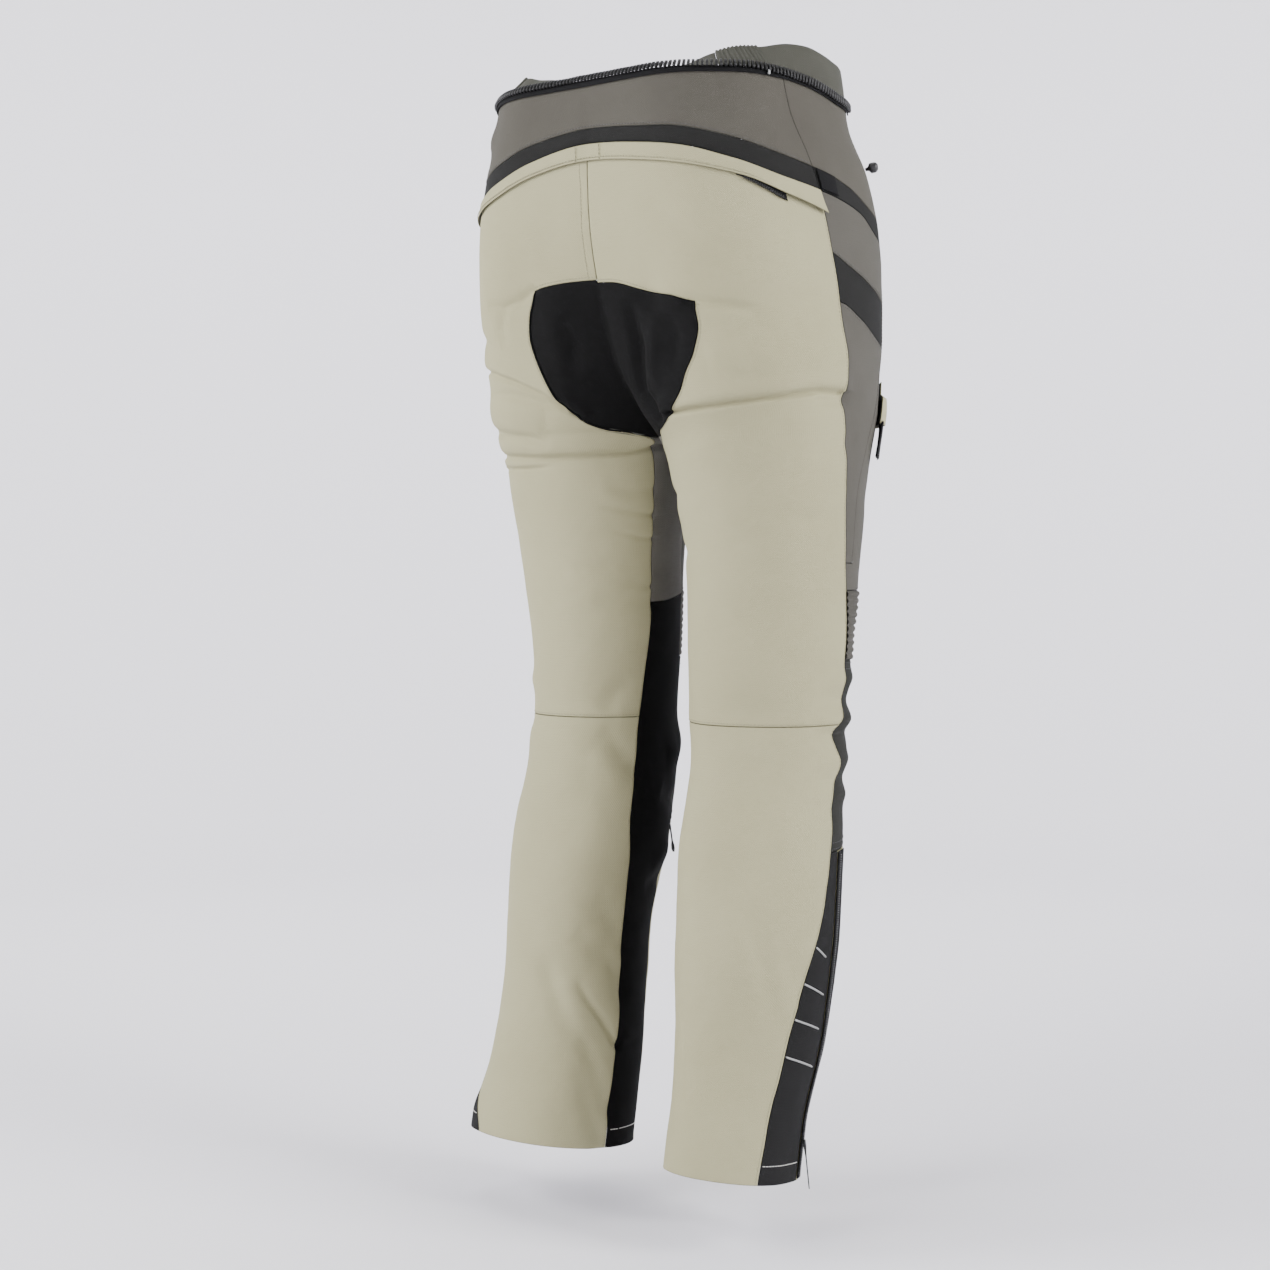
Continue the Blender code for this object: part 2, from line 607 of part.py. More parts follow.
def side_name(name, side):
    return name + ("_R" if side == RIGHT else "_L")


def add_paired_panels(collection):
    mb, ib, ob, of, inf, mf = (column(name) for name, _ in COLUMNS)
    ribs_from = ib + WAIST_RIBS["skip_cells"]
    ribs_to = ribs_from + WAIST_RIBS["cells"]
    panels = (
        ("calf_back", "beige cloth", [(ib, ob, row("hem"), row("knee_back"))]),
        ("thigh_back", "beige cloth", [(ib, ob, row("knee_back"), row("stripe_low")),
                                       (mb, ib, row("patch_top"), row("stripe_low"))]),
        ("inner_calf", "black stretch", [(mb, ib, row("hem"), row("ribs_top")),
                                         (inf, mf, row("hem"), row("ribs_top"))]),
        ("inner_thigh", "dark grey cloth", [(mb, ib, row("ribs_top"), row("crotch")),
                                            (inf, mf, row("ribs_top"), row("crotch"))]),
        ("side_gusset", "dark grey cloth", [(ob, of, row("hem"), row("shin_top"))]),
        ("shin_front", "beige cloth", [(of, inf, row("hem"), row("shin_top"))]),
        ("knee_panel", "black cloth", [(ob, inf, row("shin_top"), row("ribs_low"))]),
        ("thigh_front", "grey cloth", [(of, inf, row("ribs_top"), row("waist")),
                                       (inf, mf, row("crotch"), row("waist")),
                                       (ob, of, row("ribs_top"), row("wedge_tip"))]),
        ("side_wedge", "grey cloth", [(ob, of, row("wedge_tip"), row("patch_top"))]),
        ("side_stripe", "black cloth", [(ob, of, row("patch_top"), row("side_stripe"))]),
        ("hip_side", "grey cloth", [(ob, of, row("side_stripe"), row("stripe_low"))]),
        ("stripe_side", "black cloth", [(ob, of, row("stripe_low"), row("stripe_top"))]),
        ("yoke_side", "grey cloth", [(ob, of, row("stripe_top"), row("waist"))]),
        ("waistband_front", "olive waistband", [(ribs_to, mf, row("waist"), row("top"))]),
    )
    for side in (RIGHT, LEFT):
        for name, finish, blocks in panels:
            full = side_name(name, side)
            add_object(full, panel_mesh(full, blocks, (side,)), finish, collection)
        full = side_name("knee_ribs", side)
        block = (ob, inf, row("ribs_low"), row("ribs_top"))
        add_object(full, ribbed_mesh(full, side, block, KNEE_RIBS, True), "grey cloth", collection)
        full = side_name("waistband_ribs", side)
        block = (ribs_from, ribs_to, row("waist"), row("top"))
        add_object(full, ribbed_mesh(full, side, block, WAIST_RIBS, False), "olive waistband", collection)


def add_middle_panels(collection):
    mb, ib, ob = column("middle_back"), column("inner_back"), column("outer_back")
    ribs_from = ib + WAIST_RIBS["skip_cells"]
    panels = (
        ("seat_patch", "black stretch", [(mb, ib, row("crotch"), row("patch_top"))]),
        ("stripe_back", "black cloth", [(mb, ob, row("stripe_low"), row("stripe_top"))]),
        ("yoke_back", "grey cloth", [(mb, ob, row("stripe_top"), row("waist"))]),
        ("waistband_back", "olive waistband", [(mb, ribs_from, row("waist"), row("top"))]),
    )
    for name, finish, blocks in panels:
        add_object(name, panel_mesh(name, blocks, (RIGHT, LEFT)), finish, collection)


def add_back_laps(collection):
    """The band over the seat, the zip that peeks out under it, and the waist's connection zip."""
    mb, ib, ob = column("middle_back"), column("inner_back"), column("outer_back")
    both = (RIGHT, LEFT)
    rows = [row("band_low") + SEAT_BAND["edge"], row("stripe_low") - SEAT_BAND["edge"]]
    band = lap_mesh("seat_band", both, list(range(mb, ob + 1)), rows, LAP_GAP, BAND_WALL)
    add_object("seat_band", band, "beige cloth", collection)

    columns = list(range(mb, ob + WAIST_TAPE["past_outer_back"] + 1))
    rows = [row("tape_low") + WAIST_TAPE["edge"], row("waist") - WAIST_TAPE["edge"]]
    tape = lap_mesh("waist_zip_tape", both, columns, rows, LAP_GAP, WAIST_TAPE["wall"])
    add_object("waist_zip_tape", tape, "zip tape", collection)

    columns = [ib + SEAT_ZIP["from"], ib + 4, ib + 5, ib + SEAT_ZIP["to"]]
    rows = [row("band_low") - SEAT_ZIP["low"], row("band_low") - SEAT_ZIP["high"]]
    seat_zip = lap_mesh("seat_zip", (RIGHT,), columns, rows, LAP_GAP, SEAT_ZIP["wall"])
    add_object("seat_zip", seat_zip, "zip tape", collection)


def add_front_laps(collection):
    """The fly's placket and the tab that closes the waistband over it."""
    mf = column("middle_front")
    low, high = row("crotch") + PLACKET["above_crotch"], row("waist")
    columns = [mf - PLACKET["width"], mf - 1, mf]
    rows = list(range(low, high)) + [high - PLACKET["edge"]]
    placket = lap_mesh("fly_placket", (LEFT,), columns, rows, LAP_GAP, PLACKET["wall"])
    add_object("fly_placket", placket, "grey cloth", collection)

    rows = [row("waist") + TAB["low"], row("waist") + 1, row("top") - TAB["high"]]
    tab = lap_mesh("waist_tab", (RIGHT, LEFT), [mf - TAB["width"], mf], rows, LAP_GAP, TAB["wall"])
    add_object("waist_tab", tab, "olive waistband", collection)


def add_side_laps(collection):
    """The thigh pockets under their flaps, the ankle zips and the side loops."""
    of, ob = column("outer_front"), column("outer_back")
    crotch = row("crotch")
    pocket_top = crotch + POCKET["above_crotch"]

    def flap_lift(v):
        on_panel = v > crotch + FLAP["knee"]
        return LAP_GAP if on_panel else POCKET["gap"] + POCKET["wall"] + FLAP["gap"]

    for side in (RIGHT, LEFT):
        name = side_name("thigh_pocket", side)
        columns = [of + POCKET["from"], of + 1, of + 2, of + POCKET["to"]]
        rows = [row("wedge_tip") + POCKET["low"], *range(row("wedge_tip") + 3, crotch + 3), pocket_top]
        pocket = lap_mesh(name, (side,), columns, rows, POCKET["gap"], POCKET["wall"])
        add_object(name, pocket, "black cloth", collection)

        name = side_name("pocket_flap", side)
        columns = [of + FLAP["from"], of + 1, of + 2, of + FLAP["to"]]
        rows = [crotch + FLAP["low"], crotch + 1, pocket_top]
        rows += [crotch + FLAP["knee"], crotch + 3, crotch + FLAP["high"]]
        flap = lap_mesh(name, (side,), columns, rows, flap_lift, FLAP["wall"])
        add_object(name, flap, "beige cloth", collection)

        name = side_name("ankle_zip", side)
        columns = [of + ANKLE_ZIP["from"], of + ANKLE_ZIP["to"]]
        rows = [row("hem") + ANKLE_ZIP["low"], *range(row("hem") + 1, row("shin_top") + 1)]
        ankle = lap_mesh(name, (side,), columns, rows, LAP_GAP, ANKLE_ZIP["wall"])
        add_object(name, ankle, "zip tape", collection)

        name = side_name("side_loop", side)
        columns = [ob + SIDE_LOOP["from"], ob + SIDE_LOOP["to"]]
        rows = [row("stripe_low") + SIDE_LOOP["edge"], row("stripe_top") - SIDE_LOOP["edge"]]
        loop = lap_mesh(name, (side,), columns, rows, LAP_GAP, SIDE_LOOP["wall"])
        add_object(name, loop, "zip tape", collection)


def cord(name, points, thickness, collection, finish):
    """A short cord with closed ends through the points."""
    curve = bpy.data.curves.new(name, "CURVE")
    curve.dimensions = "3D"
    curve.bevel_depth = thickness / 2
    curve.bevel_resolution = 2
    curve.use_fill_caps = True
    spline = curve.splines.new("POLY")
    spline.points.add(len(points) - 1)
    for target, place in zip(spline.points, points):
        target.co = (*map(float, place), 1)
    made = bpy.data.objects.new(name, curve)
    own = material(finish).copy()
    own.name = name + "_" + finish.replace(" ", "_")
    curve.materials.append(own)
    collection.objects.link(made)
    return made


def add_cords(collection):
    """Short cord ends: the hip adjuster's, the calf zip's and the ankle zip's pull."""
    for side in (RIGHT, LEFT):
        points, normals = GRIDS[side]
        for name, size in CORDS.items():
            near, across, line, up = size["at"]
            start = points[column(near) + across, row(line) + up]
            out = unit(normals[column(near) + across, row(line) + up])
            if name == "hip":
                parts = (0.0, 0.5, 1.0)
                path = [start + out * (LAP_GAP + size["length"] * t) - np.array((0, 0, size["drop"] * t * t))
                        for t in parts]
            else:
                away = size["thickness"] / 2 + size["lift"]
                parts = (0.0, 0.3, 0.6, 1.0)
                path = [start + out * (away + size["swing"] * t) - np.array((0, 0, size["length"] * t))
                        for t in parts]
            part_name = "hip_cord_end" if name == "hip" else name + "_pull"
            cord(side_name(part_name, side), path, size["thickness"], collection, "black plastic")


def main():
    for old in list(bpy.data.objects):
        bpy.data.objects.remove(old, do_unlink=True)
    collection = bpy.data.collections.new("motorcycle_trousers")
    bpy.context.scene.collection.children.link(collection)
    add_paired_panels(collection)
    add_middle_panels(collection)
    add_back_laps(collection)
    add_front_laps(collection)
    add_side_laps(collection)
    add_cords(collection)


main()
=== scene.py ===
"""Looks of the textile motorcycle trousers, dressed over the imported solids.

Metres, +Z up. The wearer faces -Y, so the wearer's right leg is at -X. The origin is the middle of the waist.
Each cut piece is a thin shell on its solid's own form, with turned edges, creases, topstitching and fabric.
"""
from collections import namedtuple

import bpy
import numpy as np
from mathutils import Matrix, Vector, noise


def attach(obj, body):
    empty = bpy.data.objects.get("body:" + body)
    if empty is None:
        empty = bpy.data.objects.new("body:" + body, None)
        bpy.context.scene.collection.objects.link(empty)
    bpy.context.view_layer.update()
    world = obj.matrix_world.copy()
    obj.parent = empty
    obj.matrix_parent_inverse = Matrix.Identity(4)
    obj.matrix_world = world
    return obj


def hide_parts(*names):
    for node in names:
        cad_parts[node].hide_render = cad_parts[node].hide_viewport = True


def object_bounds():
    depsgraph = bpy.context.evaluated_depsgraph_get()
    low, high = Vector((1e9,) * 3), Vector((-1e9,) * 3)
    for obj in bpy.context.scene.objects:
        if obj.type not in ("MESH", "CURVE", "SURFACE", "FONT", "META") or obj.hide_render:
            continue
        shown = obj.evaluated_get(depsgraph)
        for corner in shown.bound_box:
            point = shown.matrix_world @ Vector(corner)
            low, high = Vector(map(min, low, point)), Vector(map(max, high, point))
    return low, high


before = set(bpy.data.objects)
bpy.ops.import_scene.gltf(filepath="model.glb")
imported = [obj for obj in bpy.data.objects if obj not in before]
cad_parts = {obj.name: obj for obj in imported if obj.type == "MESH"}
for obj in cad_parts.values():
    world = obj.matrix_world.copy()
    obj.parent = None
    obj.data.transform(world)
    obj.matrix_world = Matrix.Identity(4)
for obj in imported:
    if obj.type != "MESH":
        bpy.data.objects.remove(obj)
solid_low, solid_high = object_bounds()

# Camera
# A long lens stands behind the wearer's right hip, level with the thighs. Its axis meets the
# photograph a little right of and above the middle, so the camera turns by those pixels.
CAMERA = {"turn_degrees": 38, "distance": 2.16, "height": -0.45, "lens_px": 2160, "frame_px": 1270,
          "axis_px": (682, 560), "sensor_mm": 36}
turn = np.radians(CAMERA["turn_degrees"])
camera_data = bpy.data.cameras.new("photo_camera")
camera_data.sensor_width = CAMERA["sensor_mm"]
camera_data.lens = CAMERA["lens_px"] / CAMERA["frame_px"] * CAMERA["sensor_mm"]
camera = bpy.data.objects.new("photo_camera", camera_data)
bpy.context.scene.collection.objects.link(camera)
camera.location = (-CAMERA["distance"] * np.sin(turn), CAMERA["distance"] * np.cos(turn), CAMERA["height"])
axis = Vector((np.sin(turn), -np.cos(turn), 0))
rightward = Vector((-np.cos(turn), -np.sin(turn), 0))
middle_px = CAMERA["frame_px"] / 2
aim = axis + rightward * ((middle_px - CAMERA["axis_px"][0]) / CAMERA["lens_px"])
aim += Vector((0, 0, 1)) * ((CAMERA["axis_px"][1] - middle_px) / CAMERA["lens_px"])
camera.rotation_mode = "QUATERNION"
camera.rotation_quaternion = aim.to_track_quat("-Z", "Y")
bpy.context.scene.camera = camera


# Studio
# A pale matt sweep: a round floor that rises smoothly into a wall all round, painted emulsion.
# Soft boxes stand behind the camera and to both sides, one hangs above, and the sky fills in.
def linear(hex_colour):
    """sRGB hex to Blender's linear colour."""
    channels = [int(hex_colour[i:i + 2], 16) / 255 for i in (1, 3, 5)]
    return tuple(c / 12.92 if c <= 0.04045 else ((c + 0.055) / 1.055) ** 2.4 for c in channels) + (1.0,)


def node(tree, kind, inputs=None, **settings):
    """Adds a shader node with its settings; an input is a value, or (node, output) to link from."""
    made = tree.nodes.new(kind)
    for key, value in settings.items():
        setattr(made, key, value)
    for socket, value in (inputs or {}).items():
        if isinstance(value, tuple) and isinstance(value[0], bpy.types.Node):
            tree.links.new(value[0].outputs[value[1]], made.inputs[socket])
        else:
            made.inputs[socket].default_value = value
    return made


def bare_material(name):
    """A new material with an empty tree but for its output and shader."""
    made = bpy.data.materials.new(name)
    made.use_nodes = True
    tree = made.node_tree
    return made, tree, tree.nodes["Principled BSDF"]


def mottled(name, colour, darker, rough, per_metre):
    """A plain finish whose colour and gloss vary softly, with so many patches to the metre."""
    made, tree, shader = bare_material(name)
    place = node(tree, "ShaderNodeTexCoord")
    patches = node(tree, "ShaderNodeTexNoise",
                   {"Vector": (place, "Object"), "Scale": per_metre, "Detail": 2.0})
    tone = node(tree, "ShaderNodeMix", {0: (patches, 0), 6: linear(colour), 7: linear(darker)},
                data_type="RGBA")
    gloss = node(tree, "ShaderNodeMapRange", {0: (patches, 0), 3: rough - 0.08, 4: rough + 0.08})
    tree.links.new(tone.outputs[2], shader.inputs["Base Color"])
    tree.links.new(gloss.outputs[0], shader.inputs["Roughness"])
    return made, tree, shader


SWEEP = {"floor": solid_low.z - 0.055, "flat": 2.4, "bend": 1.6, "top": 3.2, "steps": 96}
bend_angles = np.linspace(0, np.pi / 2, 16)
profile = [(0.0, SWEEP["floor"]), (SWEEP["flat"] / 2, SWEEP["floor"])]
profile += [(SWEEP["flat"] + SWEEP["bend"] * np.sin(a), SWEEP["floor"] + SWEEP["bend"] * (1 - np.cos(a)))
            for a in bend_angles]
profile.append((SWEEP["flat"] + SWEEP["bend"], SWEEP["top"]))
sweep_mesh = bpy.data.meshes.new("studio_sweep")
sweep_mesh.from_pydata([(x, 0, z) for x, z in profile], [(i, i + 1) for i in range(len(profile) - 1)], [])
sweep = bpy.data.objects.new("studio_sweep", sweep_mesh)
bpy.context.scene.collection.objects.link(sweep)
turned = sweep.modifiers.new("turned", "SCREW")
turned.steps = turned.render_steps = SWEEP["steps"]
turned.use_smooth_shade = True
turned.use_merge_vertices = True
turned.merge_threshold = 0.0001
# Emulsion paint is flat and nearly white, so that the sweep shows no edge or gloss
emulsion, tree, shader = mottled("matt_emulsion", "#E3E2E7", "#E1E0E5", 0.9, 1.5)
sweep_mesh.materials.append(emulsion)

world = bpy.data.worlds.new("studio_sky")
world.use_nodes = True
world.node_tree.nodes["Background"].inputs["Color"].default_value = linear("#E9EAEE")
world.node_tree.nodes["Background"].inputs["Strength"].default_value = 0.18
bpy.context.scene.world = world

# Bearings are degrees from straight in front of the wearer, turning towards the wearer's left side
SoftBox = namedtuple("SoftBox", "name bearing distance height width tall power "
                                "aim_bearing aim_distance aim_height")
SOFT_BOXES = (
    SoftBox("key_box", 172, 2.9, 1.2, 1.6, 1.4, 70, 0, 0, -0.5),
    SoftBox("right_box", 280, 2.5, 0.5, 1.2, 2.0, 114, 0, 0, -0.5),
    SoftBox("left_box", 136, 2.5, 0.5, 1.2, 2.0, 88, 0, 0, -0.5),
    SoftBox("top_box", 38, 0.3, 2.4, 1.4, 1.4, 34, 0, 0, -0.5),
    SoftBox("wall_left_box", 98, 1.9, 1.0, 1.5, 1.5, 78, 38, 4.0, 1.1),
    SoftBox("wall_right_box", 338, 1.9, 1.0, 1.5, 1.5, 78, 38, 4.0, 1.1),
)


def spot(bearing, distance, height):
    """A place in the room by its bearing and distance from the middle."""
    return Vector((distance * np.sin(np.radians(bearing)), -distance * np.cos(np.radians(bearing)), height))


for box in SOFT_BOXES:
    light = bpy.data.lights.new(box.name, "AREA")
    light.shape = "RECTANGLE"
    light.size = box.width
    light.size_y = box.tall
    light.energy = box.power
    stand = bpy.data.objects.new(box.name, light)
    stand.location = spot(box.bearing, box.distance, box.height)
    look = spot(box.aim_bearing, box.aim_distance, box.aim_height) - stand.location
    stand.rotation_mode = "QUATERNION"
    stand.rotation_quaternion = look.to_track_quat("-Z", "Y")
    bpy.context.scene.collection.objects.link(stand)


# Back of each leg: calf and thigh
# The main beige cloth, woven from matt polyester thread and coated on its back. One panel runs
# from hem to knee and one from the knee over the seat, joined by a flat seam behind the knee.
# Every panel is cut on one map of the leg: degrees round it (0 inside, 90 back, 180 outside, 270
# front) and height above the hem; above the crotch it is half the torso, to the middle plane.
RIGHT, LEFT = -1, 1
WAIST_HEIGHT = 1.045
RINGS = {
    "height":      (0.012, 0.060, 0.140, 0.230, 0.320, 0.400, 0.450, 0.520, 0.600, 0.660,
                    0.700, 0.740, 0.790, 0.850, 0.910, 0.970, 1.010, 1.045),
    "out":         (0.111, 0.111, 0.112, 0.112, 0.107, 0.104, 0.103, 0.104, 0.108, 0.109,
                    0.108, 0.105, 0.102, 0.098, 0.090, 0.080, 0.070, 0.062),
    "back":        (0.066, 0.057, 0.037, 0.026, 0.013, -0.002, -0.004, -0.006, -0.005, -0.002,
                    -0.002, -0.002, -0.002, 0.000, 0.000, 0.000, 0.000, 0.000),
    "reach_in":    (0.071, 0.071, 0.072, 0.074, 0.077, 0.074, 0.074, 0.077, 0.084, 0.094,
                    0.102, 0.122, 0.160, 0.210, 0.270, 0.340, 0.390, 0.400),
    "reach_out":   (0.071, 0.071, 0.072, 0.074, 0.077, 0.074, 0.074, 0.077, 0.083, 0.088,
                    0.093, 0.099, 0.103, 0.106, 0.110, 0.112, 0.115, 0.117),
    "reach_back":  (0.074, 0.074, 0.075, 0.077, 0.079, 0.076, 0.075, 0.078, 0.084, 0.092,
                    0.103, 0.117, 0.128, 0.138, 0.146, 0.148, 0.149, 0.149),
    "reach_front": (0.074, 0.074, 0.075, 0.077, 0.079, 0.076, 0.076, 0.078, 0.084, 0.090,
                    0.098, 0.108, 0.110, 0.115, 0.116, 0.115, 0.113, 0.110),
    "square":      (2.00, 2.00, 2.00, 2.10, 2.10, 2.10, 2.10, 2.10, 2.10, 2.10,
                    2.10, 2.20, 2.30, 2.40, 2.40, 2.30, 2.20, 2.15),
    "right_width": (0.88, 0.88, 0.98, 1.03, 1.00, 0.985, 1.03, 1.02, 1.01, 1.00,
                    1.00, 1.00, 1.00, 1.00, 1.00, 1.00, 1.00, 1.00),
    "left_width":  (1.12, 1.11, 1.02, 0.97, 1.02, 1.01, 0.97, 0.98, 0.99, 1.00,
                    1.00, 1.00, 1.00, 1.00, 1.00, 1.00, 1.00, 1.00),
}
SEAMS = {
    "inner_back":  {"height": (0.00, 0.06, 0.20, 0.29, 0.34, 0.41, 0.46, 0.55, 0.66, 0.69, 0.704, 0.7165,
                               0.7195, 0.7225, 0.729, 0.736, 0.749, 0.766, 0.787, 0.812, 0.832, 0.848,
                               0.90, 0.95, 1.00, 1.045),
                    "angle":  (9, 11, 11, 17, 23, 24, 20, 14, 15, 19.5, 26, 36,
                               45, 54, 63, 69, 76, 81, 87, 90.5, 89.5, 84,
                               95, 98, 102, 105),
                    "left_more": (0, 0, 0, 0, 0, 0, 0, 0, 0, -2.5, -6, -12,
                                  -9, -6, -5.5, -5.5, -6, -6, -7, -7.5, -7.5, -4,
                                  -4, -1, 0, 0)},
    "outer_back":  {"height": (0.00, 0.02, 0.06, 0.10, 0.14, 0.20, 0.27, 0.34, 0.368, 0.392, 0.410, 0.428,
                               0.444, 0.460, 0.480, 0.51, 0.56, 0.60, 0.66, 0.74, 0.84, 0.93, 1.00, 1.045),
                    "angle":  (134, 137, 147, 153, 155, 165, 180, 187, 184, 194, 189, 184,
                               191, 196, 192, 192, 187, 181, 177, 172, 167, 159, 154, 149),
                    "left_more": (-15, -12, -5, 0, 0, 0, 0, 0, 0, 0, 0, 0,
                                  0, 0, 0, 0, 0, 0, 0, 0, 0, 0, 0, 0)},
    "outer_front": {"height": (0.00, 0.06, 0.13, 0.22, 0.318, 0.40, 0.50, 0.56, 0.60, 0.66,
                               0.71, 0.75, 0.85, 0.95, 1.045),
                    "angle":  (206, 203, 200, 196, 196, 206, 212, 204, 189, 191,
                               200, 210, 222, 231, 238)},
    "inner_front": {"height": (0.00, 0.30, 0.56, 0.68, 0.722, 0.74, 0.79, 0.85, 0.97, 1.045),
                    "angle":  (326, 326, 331, 337, 332, 312, 299, 293, 287, 283)},
}
LINES = {
    "hem":         {"angle": (0, 90, 180, 270, 360), "height": (0.012, 0.022, 0.012, 0.002, 0.012)},
    "shin_top":    {"angle": (0, 150, 196, 270, 360), "height": (0.325, 0.320, 0.318, 0.330, 0.325)},
    "knee_back":   {"angle": (0, 180, 270, 360), "height": (0.438, 0.438, 0.435, 0.438)},
    "ribs_low":    {"angle": (0, 180, 270, 360), "height": (0.500, 0.500, 0.494, 0.500)},
    "ribs_top":    {"angle": (0, 60, 180, 300, 360), "height": (0.554, 0.550, 0.566, 0.566, 0.554)},
    "wedge_tip":   {"angle": (0, 180, 360), "height": (0.592, 0.592, 0.592)},
    "crotch":      {"angle": (0, 22, 36, 60, 90, 180, 205, 270, 336, 360),
                    "height": (0.7165, 0.7170, 0.7140, 0.7100, 0.709, 0.713, 0.722, 0.722, 0.7175, 0.7165)},
    "patch_top":   {"angle": (40, 60, 78, 88, 98, 130, 168, 187, 206, 225, 260, 320),
                    "height": (0.860, 0.858, 0.849, 0.8445, 0.839, 0.8405, 0.834, 0.820, 0.804, 0.796,
                               0.792, 0.792),
                    "left_more": (0, 0.002, 0.007, 0.0065, 0.008, 0.0045, 0, 0, 0, 0, 0, 0)},
    "side_stripe": {"angle": (40, 92, 140, 163, 178, 209, 225, 260, 320),
                    "height": (0.912, 0.905, 0.892, 0.880, 0.868, 0.847, 0.840, 0.838, 0.838)},
    "band_low":    {"angle": (50, 64, 84, 105, 122, 140, 159, 190, 207, 228, 260, 320),
                    "height": (0.970, 0.969, 0.962, 0.949, 0.938, 0.926,
                               0.914, 0.897, 0.880, 0.868, 0.866, 0.866),
                    "left_more": (0, 0, -0.001, -0.004, -0.004, 0, 0, 0, 0, 0, 0, 0)},
    "stripe_low":  {"angle": (50, 64, 86, 105, 120, 140, 159, 190, 207, 228, 260, 320),
                    "height": (0.987, 0.986, 0.978, 0.966, 0.955, 0.944,
                               0.936, 0.923, 0.905, 0.894, 0.890, 0.890),
                    "left_more": (0, 0, -0.002, -0.005, -0.004, 0, 0, 0, 0, 0, 0, 0)},
    "stripe_top":  {"angle": (50, 64, 86, 105, 120, 140, 160, 184, 203, 228, 260, 320),
                    "height": (1.001, 1.000, 0.994, 0.984, 0.975, 0.966,
                               0.957, 0.944, 0.928, 0.916, 0.912, 0.912),
                    "left_more": (0, 0, -0.001, -0.005, -0.004, 0, 0, 0, 0, 0, 0, 0)},
    "tape_low":    {"angle": (50, 150, 200, 320), "height": (1.033, 1.033, 1.022, 1.018)},
    "waist":       {"angle": (50, 150, 200, 320), "height": (1.044, 1.044, 1.033, 1.029)},
    "top":         {"angle": (50, 150, 200, 320), "height": (1.084, 1.084, 1.073, 1.069)},
}
WAISTBAND_LEAN = {
    "angle": (50, 66, 75, 82, 90, 105, 120, 134, 145, 160, 175, 210, 260, 320),
    "right": (86, 82, 84, 82, 80, 74, 60, 50, 46, 30, 22, 20, 10, 8),
    "left":  (86, 80, 90, 75, 66, 58, 46, 40, 36, 28, 22, 16, 10, 8),
}
# Each named seam with the cells to the next one, and the fine steps that a cell is drawn in
COLUMNS = (("middle_back", 4, 6), ("inner_back", 8, 10), ("outer_back", 4, 7), ("outer_front", 6, 6),
           ("inner_front", 3, 5), ("middle_front", 0, 0))
ROWS = (("hem", 8, 13), ("shin_top", 3, 12), ("knee_back", 2, 9), ("ribs_low", 2, 24), ("ribs_top", 1, 10),
        ("wedge_tip", 5, 13), ("crotch", 6, 13), ("patch_top", 2, 8), ("side_stripe", 2, 7),
        ("band_low", 1, 5), ("stripe_low", 1, 5), ("stripe_top", 2, 9), ("tape_low", 1, 3),
        ("waist", 2, 6), ("top", 0, 0))


def smooth(xs, ys, x):
    """A curve through the points that never overshoots them."""
    xs = np.asarray(xs, float)
    ys = np.asarray(ys, float)
    x = np.asarray(x, float)
    rise = np.diff(ys) / np.diff(xs)
    slope = np.zeros_like(ys)
    both = rise[1:] * rise[:-1] > 0
    slope[1:-1][both] = 2 * rise[1:][both] * rise[:-1][both] / (rise[1:] + rise[:-1])[both]
    slope[0], slope[-1] = rise[0], rise[-1]
    i = np.clip(np.searchsorted(xs, x) - 1, 0, len(xs) - 2)
    w = xs[i + 1] - xs[i]
    t = np.clip((x - xs[i]) / w, 0, 1)
    return ((2 * t**3 - 3 * t**2 + 1) * ys[i] + (t**3 - 2 * t**2 + t) * w * slope[i]
            + (3 * t**2 - 2 * t**3) * ys[i + 1] + (t**3 - t**2) * w * slope[i + 1])


def ring_point(side, angle, height):
    """A point of the garment's plain form."""
    ring = {name: smooth(RINGS["height"], RINGS[name], height) for name in RINGS if name != "height"}
    c = np.cos(np.radians(angle))
    s = np.sin(np.radians(angle))
    wide = ring["left_width" if side == LEFT else "right_width"]
    reach_x = np.where(c > 0, ring["reach_in"], ring["reach_out"]) * wide
    reach_y = np.where(s > 0, ring["reach_back"], ring["reach_front"]) * (0.4 + 0.6 * wide)
    power = ring["square"]
    r = (np.abs(c / reach_x) ** power + np.abs(s / reach_y) ** power) ** (-1 / power)
    x = ring["out"] - r * c
    y = ring["back"] + r * s
    return np.stack([side * x, y, height - WAIST_HEIGHT + 0 * x], axis=-1)


def middle_table(sign, heights):
    """The angle at which each ring meets the middle plane, 0 below the crotch, by halving."""
    low = np.zeros_like(heights)
    high = np.full_like(heights, 89.9)
    below = ring_point(LEFT, low, heights)[..., 0] >= 0
    for _ in range(36):
        half = (low + high) / 2
        inside = ring_point(LEFT, sign * half, heights)[..., 0] < 0
        low = np.where(inside, half, low)
        high = np.where(inside, high, half)
    return np.where(below, 0.0, (low + high) / 2)


MIDDLE_HEIGHTS = np.linspace(0.70, 1.10, 4001)
MIDDLE_ANGLES = {sign: middle_table(sign, MIDDLE_HEIGHTS) for sign in (1, -1)}


def seam_angle(name, side, height):
    """Where an upright seam lies round the leg at a height, in degrees."""
    if name == "middle_back":
        return np.interp(height, MIDDLE_HEIGHTS, MIDDLE_ANGLES[1])
    if name == "middle_front":
        return 360 - np.interp(height, MIDDLE_HEIGHTS, MIDDLE_ANGLES[-1])
    seam = SEAMS[name]
    angle = smooth(seam["height"], seam["angle"], height)
    if "left_more" in seam:
        angle = angle + side * smooth(seam["height"], seam["left_more"], height)
    return angle


